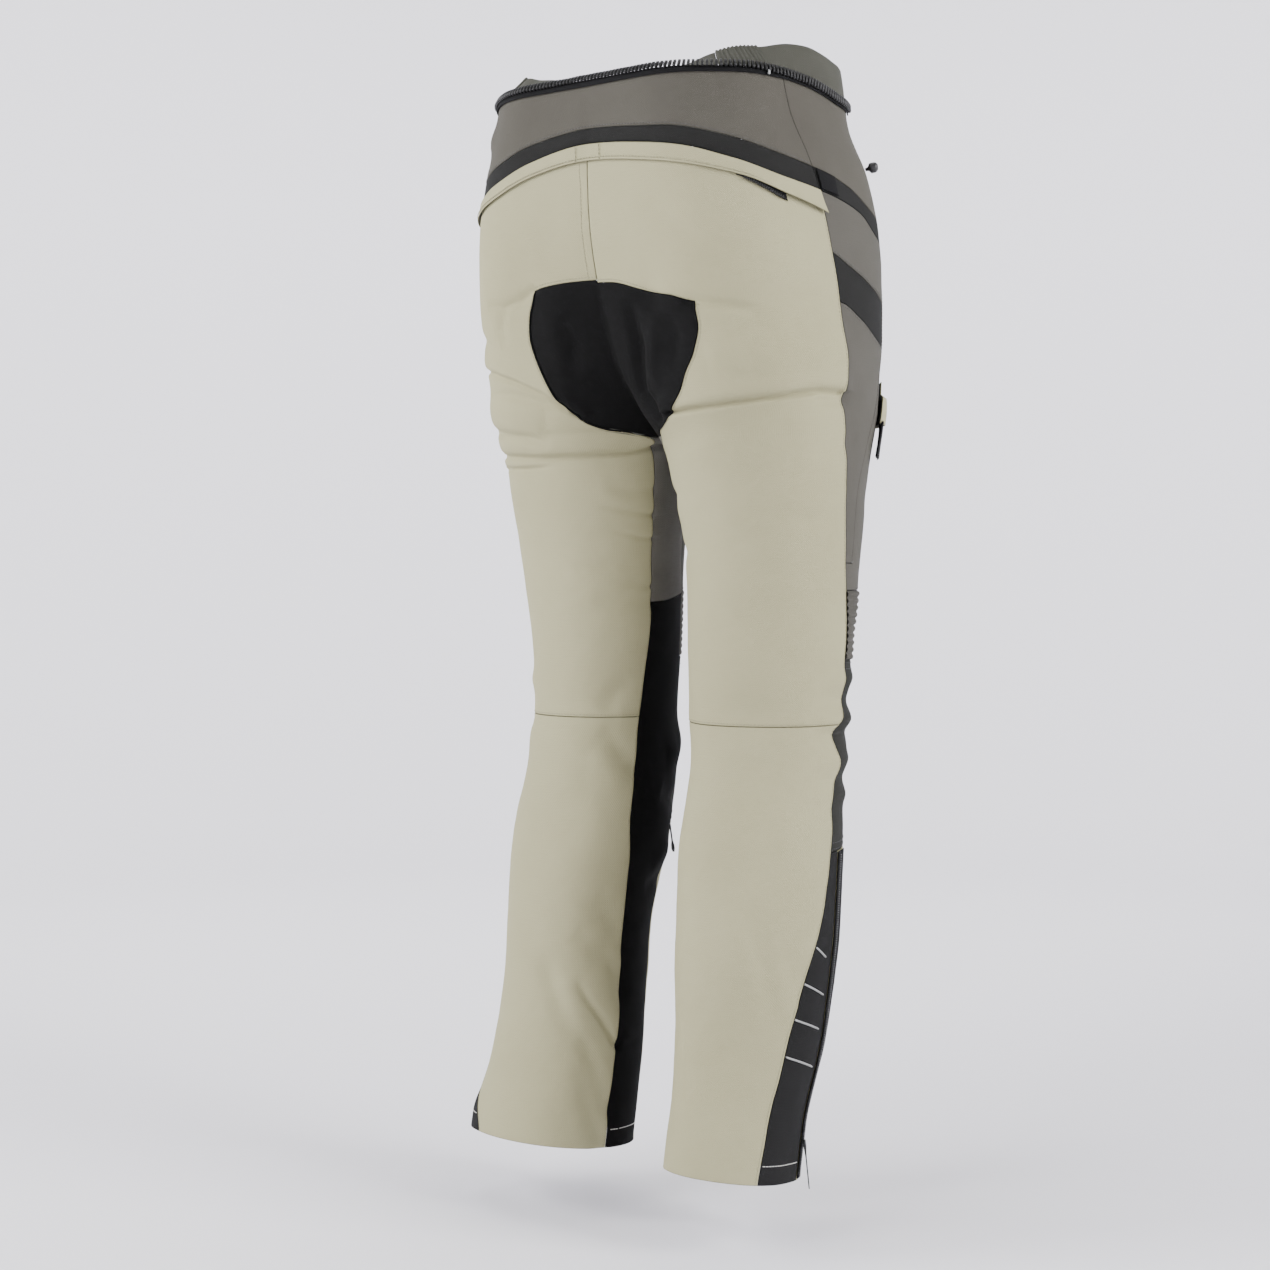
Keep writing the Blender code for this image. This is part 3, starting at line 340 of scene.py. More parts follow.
def line_height(name, side, angle):
    """How high a cross seam lies at an angle round the leg, in metres above the hem."""
    line = LINES[name]
    height = smooth(line["angle"], line["height"], angle)
    if "left_more" in line:
        height = height + side * smooth(line["angle"], line["left_more"], angle)
    return height


def places(entries):
    """Where each named seam is, in cells, and the fine places along them all."""
    start = {}
    fine = [0.0]
    at = 0
    for name, cells, steps in entries:
        start[name] = at
        for cell in range(cells):
            fine += [at + cell + (k + 1) / steps for k in range(steps)]
        at += cells
    return start, np.array(fine)


COLUMN, FINE_U = places(COLUMNS)
ROW, FINE_V = places(ROWS)


def between(entries, position, value):
    """The value at a place on the map, part way from one named seam to the next."""
    start = 0
    result = np.zeros_like(position)
    for (name, cells, _), (following, _, _) in zip(entries[:-1], entries[1:]):
        part = (position - start) / cells
        here = (part >= 0) & ((part < 1) | (following == entries[-1][0]))
        if here.any():
            result = np.where(here, value(name) * (1 - part) + value(following) * part, result)
        start += cells
    return result


def plain_surface(side, angle, height):
    """The plain form with its waistband, which leans in above the waist seam."""
    waist = line_height("waist", side, angle)
    below = np.minimum(height, waist)
    point = ring_point(side, angle, below)
    along = ring_point(side, angle + 0.5, below) - ring_point(side, angle - 0.5, below)
    inward = np.stack([along[..., 1], -along[..., 0], 0 * below], axis=-1) * side
    inward /= np.linalg.norm(inward, axis=-1, keepdims=True)
    middle = np.abs(point[..., 0]) < 1e-5
    inward[middle & (point[..., 1] > 0)] = (0, -1, 0)
    inward[middle & (point[..., 1] < 0)] = (0, 1, 0)
    degrees = WAISTBAND_LEAN["left" if side == LEFT else "right"]
    lean = np.radians(smooth(WAISTBAND_LEAN["angle"], degrees, angle))
    rise = np.maximum(height - waist, 0)
    point = point + inward * (rise * np.sin(lean))[..., None]
    point[..., 2] = below - WAIST_HEIGHT + rise * np.cos(lean)
    return point


def outward(side, points):
    """Outward normals of a grid of points; the two ends agree, or lie in the middle plane."""
    normal = np.cross(np.gradient(points, axis=0), np.gradient(points, axis=1)) * -side
    crotch = np.searchsorted(FINE_V, ROW["crotch"])
    ends = normal[0, :crotch + 1] + normal[-1, :crotch + 1]
    normal[0, :crotch + 1] = ends
    normal[-1, :crotch + 1] = ends
    normal[0, crotch:, 0] = 0
    normal[-1, crotch:, 0] = 0
    return normal / np.maximum(np.linalg.norm(normal, axis=-1, keepdims=True), 1e-12)


# Creases: path as degrees and height, depth and half width in millimetres. A trough goes in, a ridge
# comes out, and a lap hangs its upper cloth over a tight line. Ends that run into a seam stay open.
# Side 0 is on both legs, where the garment is hidden and creases much as its shown parts do.
Crease = namedtuple("Crease", "side kind path depth width open_start open_end", defaults=(False, False))
CREASES = [
    Crease(RIGHT, "trough", ((44, 0.706), (172, 0.748)), 3.0, 18, True, True),
    Crease(LEFT, "trough", ((20, 0.698), (128, 0.688)), 3.0, 18, True, True),
    Crease(RIGHT, "trough", ((76, 0.838), (60, 0.745)), 5.0, 20, True, True),
    Crease(LEFT, "ridge", ((72, 0.835), (68, 0.770)), 4.0, 24, True, True),
    Crease(RIGHT, "lap", ((70, 0.733), (100, 0.738), (128, 0.745), (152, 0.752), (168, 0.752)),
           6.0, 6, True, True),
    Crease(RIGHT, "trough", ((150, 0.742), (172, 0.744)), 3.0, 6, False, True),
    Crease(RIGHT, "ridge", ((100, 0.775), (135, 0.785), (168, 0.780)), 4.0, 24, False, True),
    Crease(RIGHT, "trough", ((94, 0.832), (106, 0.828), (124, 0.820)), 4.0, 5, True, False),
    Crease(RIGHT, "trough", ((84, 0.930), (96, 0.900), (104, 0.880)), 1.6, 12),
    Crease(RIGHT, "trough", ((150, 0.690), (166, 0.700), (180, 0.706)), 1.6, 8, False, True),
    Crease(RIGHT, "trough", ((66, 0.838), (65, 0.826), (63, 0.794), (58, 0.773), (53, 0.753), (57, 0.730)),
           6.5, 7, False, True),
    Crease(RIGHT, "ridge", ((76, 0.826), (73, 0.800), (68, 0.775), (65, 0.750)), 6.0, 10),
    Crease(RIGHT, "trough", ((84, 0.822), (86, 0.800), (80, 0.772)), 2.5, 7),
    Crease(LEFT, "trough", ((66, 0.830), (62, 0.800), (64, 0.770)), 2.2, 9),
    Crease(LEFT, "trough", ((40, 0.760), (58, 0.768), (74, 0.775)), 1.8, 7),
    Crease(LEFT, "lap", ((8, 0.712), (34, 0.701), (60, 0.697), (84, 0.696), (118, 0.700), (142, 0.704)),
           5.2, 7, True, True),
    Crease(LEFT, "lap", ((78, 0.688), (98, 0.686), (122, 0.687), (140, 0.690)), 3.6, 5, False, True),
    Crease(LEFT, "trough", ((78, 0.709), (92, 0.716), (112, 0.721), (136, 0.728)), 3.0, 5, False, True),
    Crease(LEFT, "lap", ((62, 0.736), (78, 0.756), (94, 0.770), (112, 0.782), (136, 0.790)),
           4.6, 6, True, True),
    Crease(LEFT, "trough", ((69, 0.744), (80, 0.749), (98, 0.757), (120, 0.762)), 3.2, 5, True, False),
    Crease(LEFT, "trough", ((104, 0.800), (124, 0.816), (140, 0.822)), 3.0, 7, False, True),
    Crease(LEFT, "ridge", ((80, 0.730), (110, 0.740), (140, 0.744)), 4.0, 18, False, True),
    Crease(LEFT, "trough", ((80, 0.856), (88, 0.846), (98, 0.842), (108, 0.846)), 3.6, 5, True, False),
    Crease(LEFT, "trough", ((96, 0.842), (100, 0.822), (98, 0.802)), 2.2, 7),
    Crease(LEFT, "trough", ((16, 0.664), (28, 0.660), (46, 0.666)), 2.0, 6, True, False),
    Crease(LEFT, "lap", ((15, 0.641), (30, 0.643), (50, 0.650)), 2.6, 6, True, False),
    Crease(LEFT, "lap", ((15, 0.617), (26, 0.619), (44, 0.626)), 2.2, 5, True, False),
    Crease(LEFT, "trough", ((22, 0.584), (42, 0.588), (70, 0.589)), 1.4, 6),
    Crease(LEFT, "lap", ((14, 0.570), (26, 0.572), (46, 0.577)), 2.4, 5, True, False),
    Crease(LEFT, "trough", ((17, 0.552), (34, 0.552), (58, 0.557)), 1.8, 7, True, False),
    Crease(LEFT, "trough", ((24, 0.384), (38, 0.404), (52, 0.428)), 2.6, 11, True, False),
    Crease(LEFT, "trough", ((30, 0.476), (40, 0.464), (52, 0.446)), 2.0, 10),
    Crease(LEFT, "ridge", ((34, 0.366), (46, 0.388), (58, 0.405)), 2.0, 14),
    Crease(LEFT, "trough", ((26, 0.190), (41, 0.212), (54, 0.226)), 2.2, 11),
    Crease(LEFT, "trough", ((46, 0.124), (60, 0.152), (71, 0.180), (76, 0.205)), 3.0, 11),
    Crease(LEFT, "ridge", ((36, 0.120), (50, 0.150), (62, 0.180)), 2.0, 12),
    Crease(LEFT, "lap", ((10, 0.112), (26, 0.140), (38, 0.158), (48, 0.178)), 3.6, 8, True, False),
    Crease(LEFT, "trough", ((10, 0.164), (19, 0.190), (32, 0.222)), 3.0, 10, True, False),
    Crease(LEFT, "trough", ((10, 0.206), (24, 0.232), (40, 0.266)), 2.8, 12, True, False),
    Crease(LEFT, "trough", ((14, 0.014), (27, 0.056), (40, 0.100)), 3.0, 11, True, False),
    Crease(LEFT, "trough", ((12, 0.050), (26, 0.088), (46, 0.132)), 2.8, 9, True, False),
    Crease(LEFT, "ridge", ((148, -0.01), (150, 0.03)), 8.0, 26, True, True),
    Crease(RIGHT, "trough", ((116, 0.276), (126, 0.235), (136, 0.195), (146, 0.154)), 3.0, 12),
    Crease(RIGHT, "ridge", ((106, 0.272), (116, 0.236), (128, 0.190)), 2.2, 14),
    Crease(RIGHT, "trough", ((141, 0.250), (152, 0.214), (162, 0.180)), 2.2, 11),
    Crease(RIGHT, "trough", ((24, 0.660), (34, 0.655), (50, 0.662)), 2.6, 8),
    Crease(RIGHT, "trough", ((20, 0.600), (36, 0.604), (52, 0.600)), 2.4, 8),
    Crease(RIGHT, "trough", ((130, 0.640), (150, 0.632), (170, 0.634)), 1.6, 9),
    Crease(RIGHT, "ridge", ((166, 0.481), (205, 0.481), (228, 0.484)), 3.4, 8),
    Crease(RIGHT, "trough", ((160, 0.461), (200, 0.461), (232, 0.458)), 2.4, 7),
    Crease(RIGHT, "ridge", ((166, 0.443), (205, 0.443), (232, 0.440)), 3.4, 8),
    Crease(RIGHT, "trough", ((158, 0.428), (200, 0.429), (232, 0.428)), 3.4, 7),
    Crease(RIGHT, "ridge", ((166, 0.404), (205, 0.404), (232, 0.400)), 3.4, 9),
    Crease(RIGHT, "trough", ((160, 0.385), (200, 0.385), (230, 0.384)), 2.4, 7),
    Crease(RIGHT, "ridge", ((166, 0.368), (205, 0.369), (230, 0.370)), 2.4, 7),
    Crease(LEFT, "ridge", ((120, 0.470), (150, 0.474), (200, 0.470)), 2.0, 9),
    Crease(LEFT, "trough", ((130, 0.430), (170, 0.432), (215, 0.430)), 3.0, 8),
    Crease(LEFT, "ridge", ((310, 0.420), (330, 0.400), (350, 0.396)), 3.4, 14),
    Crease(LEFT, "trough", ((316, 0.350), (336, 0.352), (354, 0.360)), 4.0, 10),
    Crease(LEFT, "ridge", ((316, 0.300), (336, 0.296), (352, 0.290)), 2.6, 12),
    Crease(LEFT, "trough", ((320, 0.268), (338, 0.270), (354, 0.266)), 2.6, 9),
    Crease(LEFT, "ridge", ((118, 1.010), (150, 1.006), (190, 1.000)), 2.6, 12, True, False),
    Crease(LEFT, "trough", ((122, 0.994), (150, 0.990), (190, 0.984)), 3.0, 8, True, False),
    Crease(RIGHT, "trough", ((160, 1.012), (205, 1.016), (262, 1.010)), 12.0, 46, True, False),
    Crease(0, "trough", ((40, 0.446), (90, 0.444), (150, 0.447)), 3.0, 18),
    Crease(0, "trough", ((236, 0.470), (270, 0.462), (306, 0.470)), 2.4, 12),
    Crease(0, "trough", ((236, 0.400), (270, 0.392), (306, 0.400)), 2.4, 12),
    Crease(0, "trough", ((292, 0.735), (272, 0.752), (246, 0.762), (222, 0.764)), 3.6, 9, True, False),
    Crease(0, "trough", ((302, 0.705), (280, 0.716), (256, 0.720)), 2.6, 9, True, False),
    Crease(0, "trough", ((230, 0.616), (258, 0.606), (292, 0.612)), 2.2, 10),
    Crease(0, "trough", ((244, 0.250), (268, 0.232), (296, 0.240)), 2.4, 12),
    Crease(0, "trough", ((262, 0.130), (286, 0.112), (308, 0.118)), 2.6, 11),
]


def crease_lift(side, points):
    """How far the creases lift or sink the cloth, in metres, and the plain form's normals."""
    lift = np.zeros(points.shape[:-1])
    normals = outward(side, points)
    for crease in CREASES:
        if crease.side not in (0, side):
            continue
        marks = np.array(crease.path, float)
        steps = np.linspace(0, len(marks) - 1, 8 * (len(marks) - 1) + 1)
        angle = np.interp(steps, np.arange(len(marks)), marks[:, 0])
        height = np.interp(steps, np.arange(len(marks)), marks[:, 1])
        path = ring_point(side, angle, height)
        nearest = np.full(points.shape[:-1], np.inf)
        across = np.zeros(points.shape[:-1])
        along = np.zeros(points.shape[:-1])
        for k, (a, b) in enumerate(zip(path[:-1], path[1:])):
            t = np.clip(((points - a) @ (b - a)) / ((b - a) @ (b - a)), 0, 1)
            offset = points - a - t[..., None] * (b - a)
            distance = np.linalg.norm(offset, axis=-1)
            closer = distance < nearest
            way = np.sign(offset[..., 2])
            across = np.where(closer, distance * way, across)
            along = np.where(closer, (k + t) / (len(path) - 1), along)
            nearest = np.where(closer, distance, nearest)
        fade = np.ones_like(along)
        if not crease.open_start:
            fade = fade * np.clip(along / 0.35, 0, 1) ** 0.5
        if not crease.open_end:
            fade = fade * np.clip((1 - along) / 0.35, 0, 1) ** 0.5
        depth = crease.depth / 1000 * fade
        width = crease.width / 1000
        if crease.kind == "lap":
            over = np.exp(-((across - 1.3 * width) / (1.5 * width)) ** 2)
            under = np.exp(-((across + 0.2 * width) / (0.45 * width)) ** 2)
            lift += depth * (0.45 * over - 0.9 * under)
        else:
            way = 1 if crease.kind == "ridge" else -1
            lift += way * depth * np.exp(-(nearest / width) ** 2)
    return lift, normals


UNEVEN = {"size_mm": 58, "height_mm": 1.5, "fine_size_mm": 19, "fine_height_mm": 0.35}


def uneven_lift(side, points):
    """The cloth's slight waviness, in metres."""
    flat = points.reshape(-1, 3)
    shift = Vector((3.1 * side, 7.7, 1.3))
    broad = [noise.noise(Vector(p) * (1000 / UNEVEN["size_mm"]) + shift) for p in flat]
    fine = [noise.noise(Vector(p) * (1000 / UNEVEN["fine_size_mm"]) - shift) for p in flat]
    lift = np.array(broad) * UNEVEN["height_mm"] + np.array(fine) * UNEVEN["fine_height_mm"]
    return lift.reshape(points.shape[:-1]) / 1000


Cloth = namedtuple("Cloth", "points normals arc height angle")


def cloth_map(side):
    """The whole of one side's cloth: its points, normals, and arc lengths for the weave."""
    u, v = np.meshgrid(FINE_U, FINE_V, indexing="ij")
    angle = np.interp(u, [0, COLUMN["middle_front"]], [30.0, 330.0])
    height = np.interp(v, [0, ROW["top"]], [0.0, 1.08])
    for _ in range(60):
        height = (height + between(ROWS, v, lambda name: line_height(name, side, angle))) / 2
        angle = (angle + between(COLUMNS, u, lambda name: seam_angle(name, side, height))) / 2
    points = plain_surface(side, angle, height)
    crotch = np.searchsorted(FINE_V, ROW["crotch"])
    points[0, crotch:, 0] = 0
    points[-1, crotch:, 0] = 0
    lift, normals = crease_lift(side, points)
    lift = lift + uneven_lift(side, points)
    lift[0, crotch:] = uneven_lift(RIGHT, points)[0, crotch:]
    lift[-1, :crotch + 1] = lift[0, :crotch + 1]
    points = points + normals * lift[..., None]
    steps = np.linalg.norm(np.diff(points, axis=0), axis=-1)
    arc = np.concatenate([np.zeros((1, len(FINE_V))), np.cumsum(steps, axis=0)])
    arc -= arc[np.searchsorted(FINE_U, COLUMN["inner_back"] + 4)]
    return Cloth(points, outward(side, points), arc, height, angle)


CLOTH = {side: cloth_map(side) for side in (RIGHT, LEFT)}

EDGE = {"turn": 0.0011, "drop": 0.0008, "gap": 0.00015}


def turn_edges(points, normals, corners, marks):
    """Rolls a panel's raw edge down and under. Takes quads and their weave marks, and adds the rim, with
    painted shade on it for the seam_shade attribute.
    """
    points = list(points)
    # Painted shade for the seam_shade attribute: none on the face, about half on the rim's middle row, full on
    # its lowest row
    shade = [0.0] * len(points)
    edges = {}
    for face, mark in zip(corners, marks):
        for k in range(len(face)):
            a, b = face[k], face[(k + 1) % len(face)]
            if edges.pop((b, a), None) is None:
                edges[(a, b)] = (mark[k], mark[(k + 1) % len(face)])
    ways = {}
    rim = {a for a, _ in edges}
    for a, b in edges:
        way = np.cross((normals[a] + normals[b]) / 2, points[b] - points[a])
        way = way / max(np.linalg.norm(way), 1e-12)
        ways.setdefault(a, []).append(way)
        ways.setdefault(b, []).append(way)
    reach = {}
    for face in corners:
        for k in range(len(face)):
            a, b = face[k], face[(k + 1) % len(face)]
            for p, q in ((a, b), (b, a)):
                if p in rim and q not in rim:
                    reach[p] = min(reach.get(p, 1.0), np.linalg.norm(points[p] - points[q]))
    low, middle = {}, {}
    raw = {}
    for a, pair in ways.items():
        way = sum(pair)
        way = way / max(np.linalg.norm(way), 1e-12)
        corner = max(float(way @ pair[0]), 0.5)
        turn = min(EDGE["turn"], 0.42 * reach.get(a, 2 * EDGE["turn"]))
        raw[a] = (way / corner, turn)
    for a, (way, turn) in raw.items():
        start = points[a]
        middle[a] = len(points)
        points.append(start + way * max(0.3 * turn, EDGE["gap"]) - normals[a] * EDGE["drop"] * 0.3)
        shade.append(0.55)
        low[a] = len(points)
        points.append(start + way * EDGE["gap"] - normals[a] * EDGE["drop"])
        shade.append(1.0)
    for a, (way, turn) in raw.items():
        points[a] = points[a] + way * turn
    faces = [tuple(face) for face in corners]
    marks = [tuple(mark) for mark in marks]
    for (a, b), (mark_a, mark_b) in edges.items():
        faces.append((b, a, middle[a], middle[b]))
        faces.append((middle[b], middle[a], low[a], low[b]))
        marks += [(mark_b, mark_a, mark_a, mark_b)] * 2
    return points, faces, marks, shade


WALL_MM = 1.3


def sew(name, points, normals, corners, marks, cloths, replaces=(), wall_mm=WALL_MM):
    """Makes one cut piece as an object: turned edges, a wall, its weave map and its fabric.
    """
    face = corners[0]
    facing = np.cross(points[face[1]] - points[face[0]], points[face[3]] - points[face[0]])
    if facing @ normals[face[0]] < 0:
        corners = [face[::-1] for face in corners]
        marks = [mark[::-1] for mark in marks]
    points, faces, marks, shade = turn_edges(points, normals, corners, marks)
    mesh = bpy.data.meshes.new(name)
    mesh.from_pydata([tuple(map(float, p)) for p in points], [], faces)
    mesh.shade_smooth()
    weave = mesh.uv_layers.new(name="weave")
    weave.data.foreach_set("uv", np.array(marks, float).ravel())
    # seam_shade carries the painted shade along each turned edge; the cloth's material darkens by it
    crease = mesh.attributes.new("seam_shade", "FLOAT", "POINT")
    crease.data.foreach_set("value", np.array(shade, float))
    for cloth in cloths:
        mesh.materials.append(cloth)
    piece = bpy.data.objects.new(name, mesh)
    bpy.context.scene.collection.objects.link(piece)
    wall = piece.modifiers.new("wall", "SOLIDIFY")
    wall.thickness = wall_mm / 1000
    wall.offset = -1
    wall.material_offset = len(cloths) - 1
    wall.material_offset_rim = 0
    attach(piece, "root")
    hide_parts(*replaces)
    return piece


def cut_panel(name, blocks, sides, cloths, shape=None):
    """Cuts a panel from blocks of the map: from column, to column, from row, to row."""
    columns, rows = len(FINE_U), len(FINE_V)
    crotch = np.searchsorted(FINE_V, ROW["crotch"])
    used = {}
    points, normals, corners, marks = [], [], [], []

    def key_of(side, i, j):
        if len(sides) == 2 and i in (0, columns - 1) and j >= crotch:
            return (0, i, j)
        if len(sides) == 1 and i == columns - 1 and j <= crotch:
            return (side, 0, j)
        return (side, i, j)

    for side in sides:
        cloth = CLOTH[side]
        extra = shape(side) if shape else None
        wanted = np.zeros((columns - 1, rows - 1), bool)
        for c0, c1, r0, r1 in blocks:
            i0, i1 = np.searchsorted(FINE_U, (c0 - 1e-6, c1 - 1e-6))
            j0, j1 = np.searchsorted(FINE_V, (r0 - 1e-6, r1 - 1e-6))
            wanted[i0:i1, j0:j1] = True
        for i, j in zip(*np.nonzero(wanted)):
            quad = [(i, j), (i + 1, j), (i + 1, j + 1), (i, j + 1)]
            if side == LEFT:
                quad.reverse()
            face = []
            for a, b in quad:
                key = key_of(side, a, b)
                if key not in used:
                    used[key] = len(points)
                    lift = extra[a, b] if extra is not None else 0
                    points.append(cloth.points[a, b] + cloth.normals[a, b] * lift)
                    normals.append(cloth.normals[a, b])
                face.append(used[key])
            corners.append(face)
            marks.append([(cloth.arc[a, b], cloth.height[a, b]) for a, b in quad])
    return sew(name, points, normals, corners, marks, cloths, (name,))


def woven_cloth(name, colour, shade_and_patch_colour, thread_mm, rough, sheen, bump_mm, patchy=0.5):
    """Woven or knitted polyester: threads over and under, slightly uneven in colour and height, with painted
    shade in the weave's hollows and along each panel's turned edges.

    Real threads are about half as wide, which is too fine to show, so they are drawn at thread_mm.
    """
    made, tree, shader = bare_material(name)
    place = node(tree, "ShaderNodeUVMap", uv_map="weave")
    across = 2 * np.pi * 1000 / (2 * thread_mm)
    scaled = node(tree, "ShaderNodeVectorMath", {0: (place, "UV"), 1: (across, across, 0)},
                  operation="MULTIPLY")
    split = node(tree, "ShaderNodeSeparateXYZ", {0: (scaled, 0)})
    warp = node(tree, "ShaderNodeMath", {0: (split, "X")}, operation="SINE")
    weft = node(tree, "ShaderNodeMath", {0: (split, "Y")}, operation="SINE")
    crossing = node(tree, "ShaderNodeMath", {0: (warp, 0), 1: (weft, 0)}, operation="MULTIPLY")
    slubs = []
    for run in ((900 / thread_mm, 60 / thread_mm, 1), (60 / thread_mm, 900 / thread_mm, 1)):
        drawn = node(tree, "ShaderNodeVectorMath", {0: (place, "UV"), 1: run}, operation="MULTIPLY")
        slubs.append(node(tree, "ShaderNodeTexNoise", {"Vector": (drawn, 0), "Scale": 1.0, "Detail": 1.0}))
    slubs = node(tree, "ShaderNodeMath", {0: (slubs[0], 0), 1: (slubs[1], 0)}, operation="ADD")
    height = node(tree, "ShaderNodeMath", {0: (crossing, 0), 1: 0.5, 2: (slubs, 0)}, operation="MULTIPLY_ADD")
    bump = node(tree, "ShaderNodeBump", {"Height": (height, 0), "Strength": 0.6, "Distance": bump_mm / 1000})
    room = node(tree, "ShaderNodeTexCoord")
    patches = node(tree, "ShaderNodeTexNoise", {"Vector": (room, "Object"), "Scale": 7.0, "Detail": 3.0})
    worn = node(tree, "ShaderNodeMapRange", {0: (patches, 0), 1: 0.3, 2: 0.7, 3: 0.0, 4: patchy})
    # Painted shade: the weave's low places, between the thread crossings, are mixed towards the darker colour;
    # the slubs also vary it at random
    tone = node(tree, "ShaderNodeMapRange", {0: (height, 0), 1: 0.3, 2: 1.7, 3: 0.35, 4: 0.0})
    patches_and_hollow_shade = node(tree, "ShaderNodeMath", {0: (worn, 0), 1: (tone, 0)}, operation="ADD")
    # Painted shade: by the seam_shade attribute the turned edges are mixed towards a colour a third as bright
    # as the darker one
    seam = node(tree, "ShaderNodeAttribute", attribute_name="seam_shade")
    ground = node(tree, "ShaderNodeMix", {0: (patches_and_hollow_shade, 0), 6: linear(colour), 7: linear(shade_and_patch_colour)},
                  data_type="RGBA")
    dark = tuple(0.35 * c for c in linear(shade_and_patch_colour)[:3]) + (1.0,)
    with_seam_shade = node(tree, "ShaderNodeMix", {0: (seam, "Fac"), 6: (ground, 2), 7: dark},
                 data_type="RGBA")
    tree.links.new(with_seam_shade.outputs[2], shader.inputs["Base Color"])
    tree.links.new(bump.outputs[0], shader.inputs["Normal"])
    shader.inputs["Roughness"].default_value = rough
    shader.inputs["Sheen Weight"].default_value = sheen
    shader.inputs["Sheen Roughness"].default_value = 0.45
    shader.inputs["Specular IOR Level"].default_value = 0.15
    return made


MB, IB, OB, OF, INF, MF = (COLUMN[name] for name, _, _ in COLUMNS)
SIDES = ((RIGHT, "R"), (LEFT, "L"))

# Matt polyester looks flat and pale, and its weave shows only from near. The coated back is a
# smoother, faintly glossy grey where an opening lets the inside be seen.
beige_cloth = woven_cloth("beige_woven_polyester", "#9D997A", "#918D6E", 1.1, 0.86, 0.03, 0.35)
cloth_back = woven_cloth("grey_coated_cloth_back", "#55564F", "#45463F", 1.1, 0.7, 0.1, 0.2)
for side, letter in SIDES:
    cut_panel("calf_back_" + letter, [(IB, OB, ROW["hem"], ROW["knee_back"])], (side,),
              [beige_cloth, cloth_back])
    cut_panel("thigh_back_" + letter, [(IB, OB, ROW["knee_back"], ROW["stripe_low"]),
                                       (MB, IB, ROW["patch_top"], ROW["stripe_low"])], (side,),
              [beige_cloth, cloth_back])


# Inside of each leg
# A black stretch panel runs up the inside of the calf past the knee, and above it a dark grey
# woven panel runs to the crotch. Both are sewn to the beige back along the inner seam.
# The knit soaks up light, so that its folds hardly show; the woven grey is dull but not black.
black_stretch = woven_cloth("black_knitted_stretch", "#050505", "#030303", 0.9, 0.95, 0.0, 0.2)
dark_cloth = woven_cloth("dark_grey_woven_polyester", "#67655F", "#484640", 1.1, 0.9, 0.0, 0.3)
for side, letter in SIDES:
    cut_panel("inner_calf_" + letter, [(MB, IB, ROW["hem"], ROW["ribs_top"]),
                                       (INF, MF, ROW["hem"], ROW["ribs_top"])], (side,),
              [black_stretch, cloth_back])
    cut_panel("inner_thigh_" + letter, [(MB, IB, ROW["ribs_top"], ROW["crotch"]),
                                        (INF, MF, ROW["ribs_top"], ROW["crotch"])], (side,),
              [dark_cloth, cloth_back])


# Seat patch
# A black stretch panel set into the seat and crotch across the middle, so that the rider can sit.
# It is cut in one and sewn in all round. Its brushed face is deep black, a little paler on folds.
patch_stretch = woven_cloth("black_seat_stretch", "#080808", "#040404", 0.9, 0.9, 0.0, 0.25)
cut_panel("seat_patch", [(MB, IB, ROW["crotch"], ROW["patch_top"])], (RIGHT, LEFT),
          [patch_stretch, cloth_back])


# Side gussets at the ankles
# A narrow dark wedge down the outside of each calf, sewn to the calf's back and closed at the
# front by the ankle zip. Charcoal polyester is a dusty black, which light turns dark grey.
gusset_cloth = woven_cloth("charcoal_woven_polyester", "#1D1D1D", "#151515", 1.1, 0.9, 0.0, 0.3)
for side, letter in SIDES:
    cut_panel("side_gusset_" + letter, [(OB, OF, ROW["hem"], ROW["shin_top"])], (side,),
              [gusset_cloth, cloth_back])


# Outside of each hip and thigh
# Grey wedge, dark stripe, grey hip panel and dark stripe, sewn one above the other between the
# two side seams. The grey is warm and dull, and the black of the stripes has no shine.
grey_cloth = woven_cloth("grey_woven_polyester", "#4D4B45", "#43413C", 1.1, 0.88, 0.02, 0.35)
stripe_cloth = woven_cloth("black_woven_polyester", "#1F1F1E", "#191918", 1.1, 0.9, 0.0, 0.3)
for side, letter in SIDES:
    for name, low, high, cloth, slot, cut in (
            ("side_wedge", "wedge_tip", "patch_top", grey_cloth, "grey_cloth", (0.100, 0.248, 0.0103)),
            ("side_stripe", "patch_top", "side_stripe", stripe_cloth, "black_cloth", (0.117, 0.046, 0.0043)),
            ("hip_side", "side_stripe", "stripe_low", grey_cloth, "grey_cloth", (0.142, 0.065, 0.0073)),
            ("stripe_side", "stripe_low", "stripe_top", stripe_cloth, "black_cloth", (0.149, 0.023, 0.0028))):
        cut_panel(name + "_" + letter, [(OB, OF, ROW[low], ROW[high])], (side,),
                  [cloth, cloth_back])


# Front of each leg
# Beige over the shin, a tough dark knee panel with the armour behind it, and grey over the thigh,
# joined by cross seams. The knee's coarser threads break up its dark surface.
knee_cloth = woven_cloth("black_knee_cordura", "#272724", "#1F1F1C", 1.3, 0.9, 0.0, 0.3)
for side, letter in SIDES:
    cut_panel("shin_front_" + letter, [(OF, INF, ROW["hem"], ROW["shin_top"])], (side,),
              [beige_cloth, cloth_back])
    cut_panel("knee_panel_" + letter, [(OB, INF, ROW["shin_top"], ROW["ribs_low"])], (side,),
              [knee_cloth, cloth_back])
    cut_panel("thigh_front_" + letter, [(OF, INF, ROW["ribs_top"], ROW["waist"]),
                                        (INF, MF, ROW["crotch"], ROW["waist"]),
                                        (OB, OF, ROW["ribs_top"], ROW["wedge_tip"])], (side,),
              [grey_cloth, cloth_back])


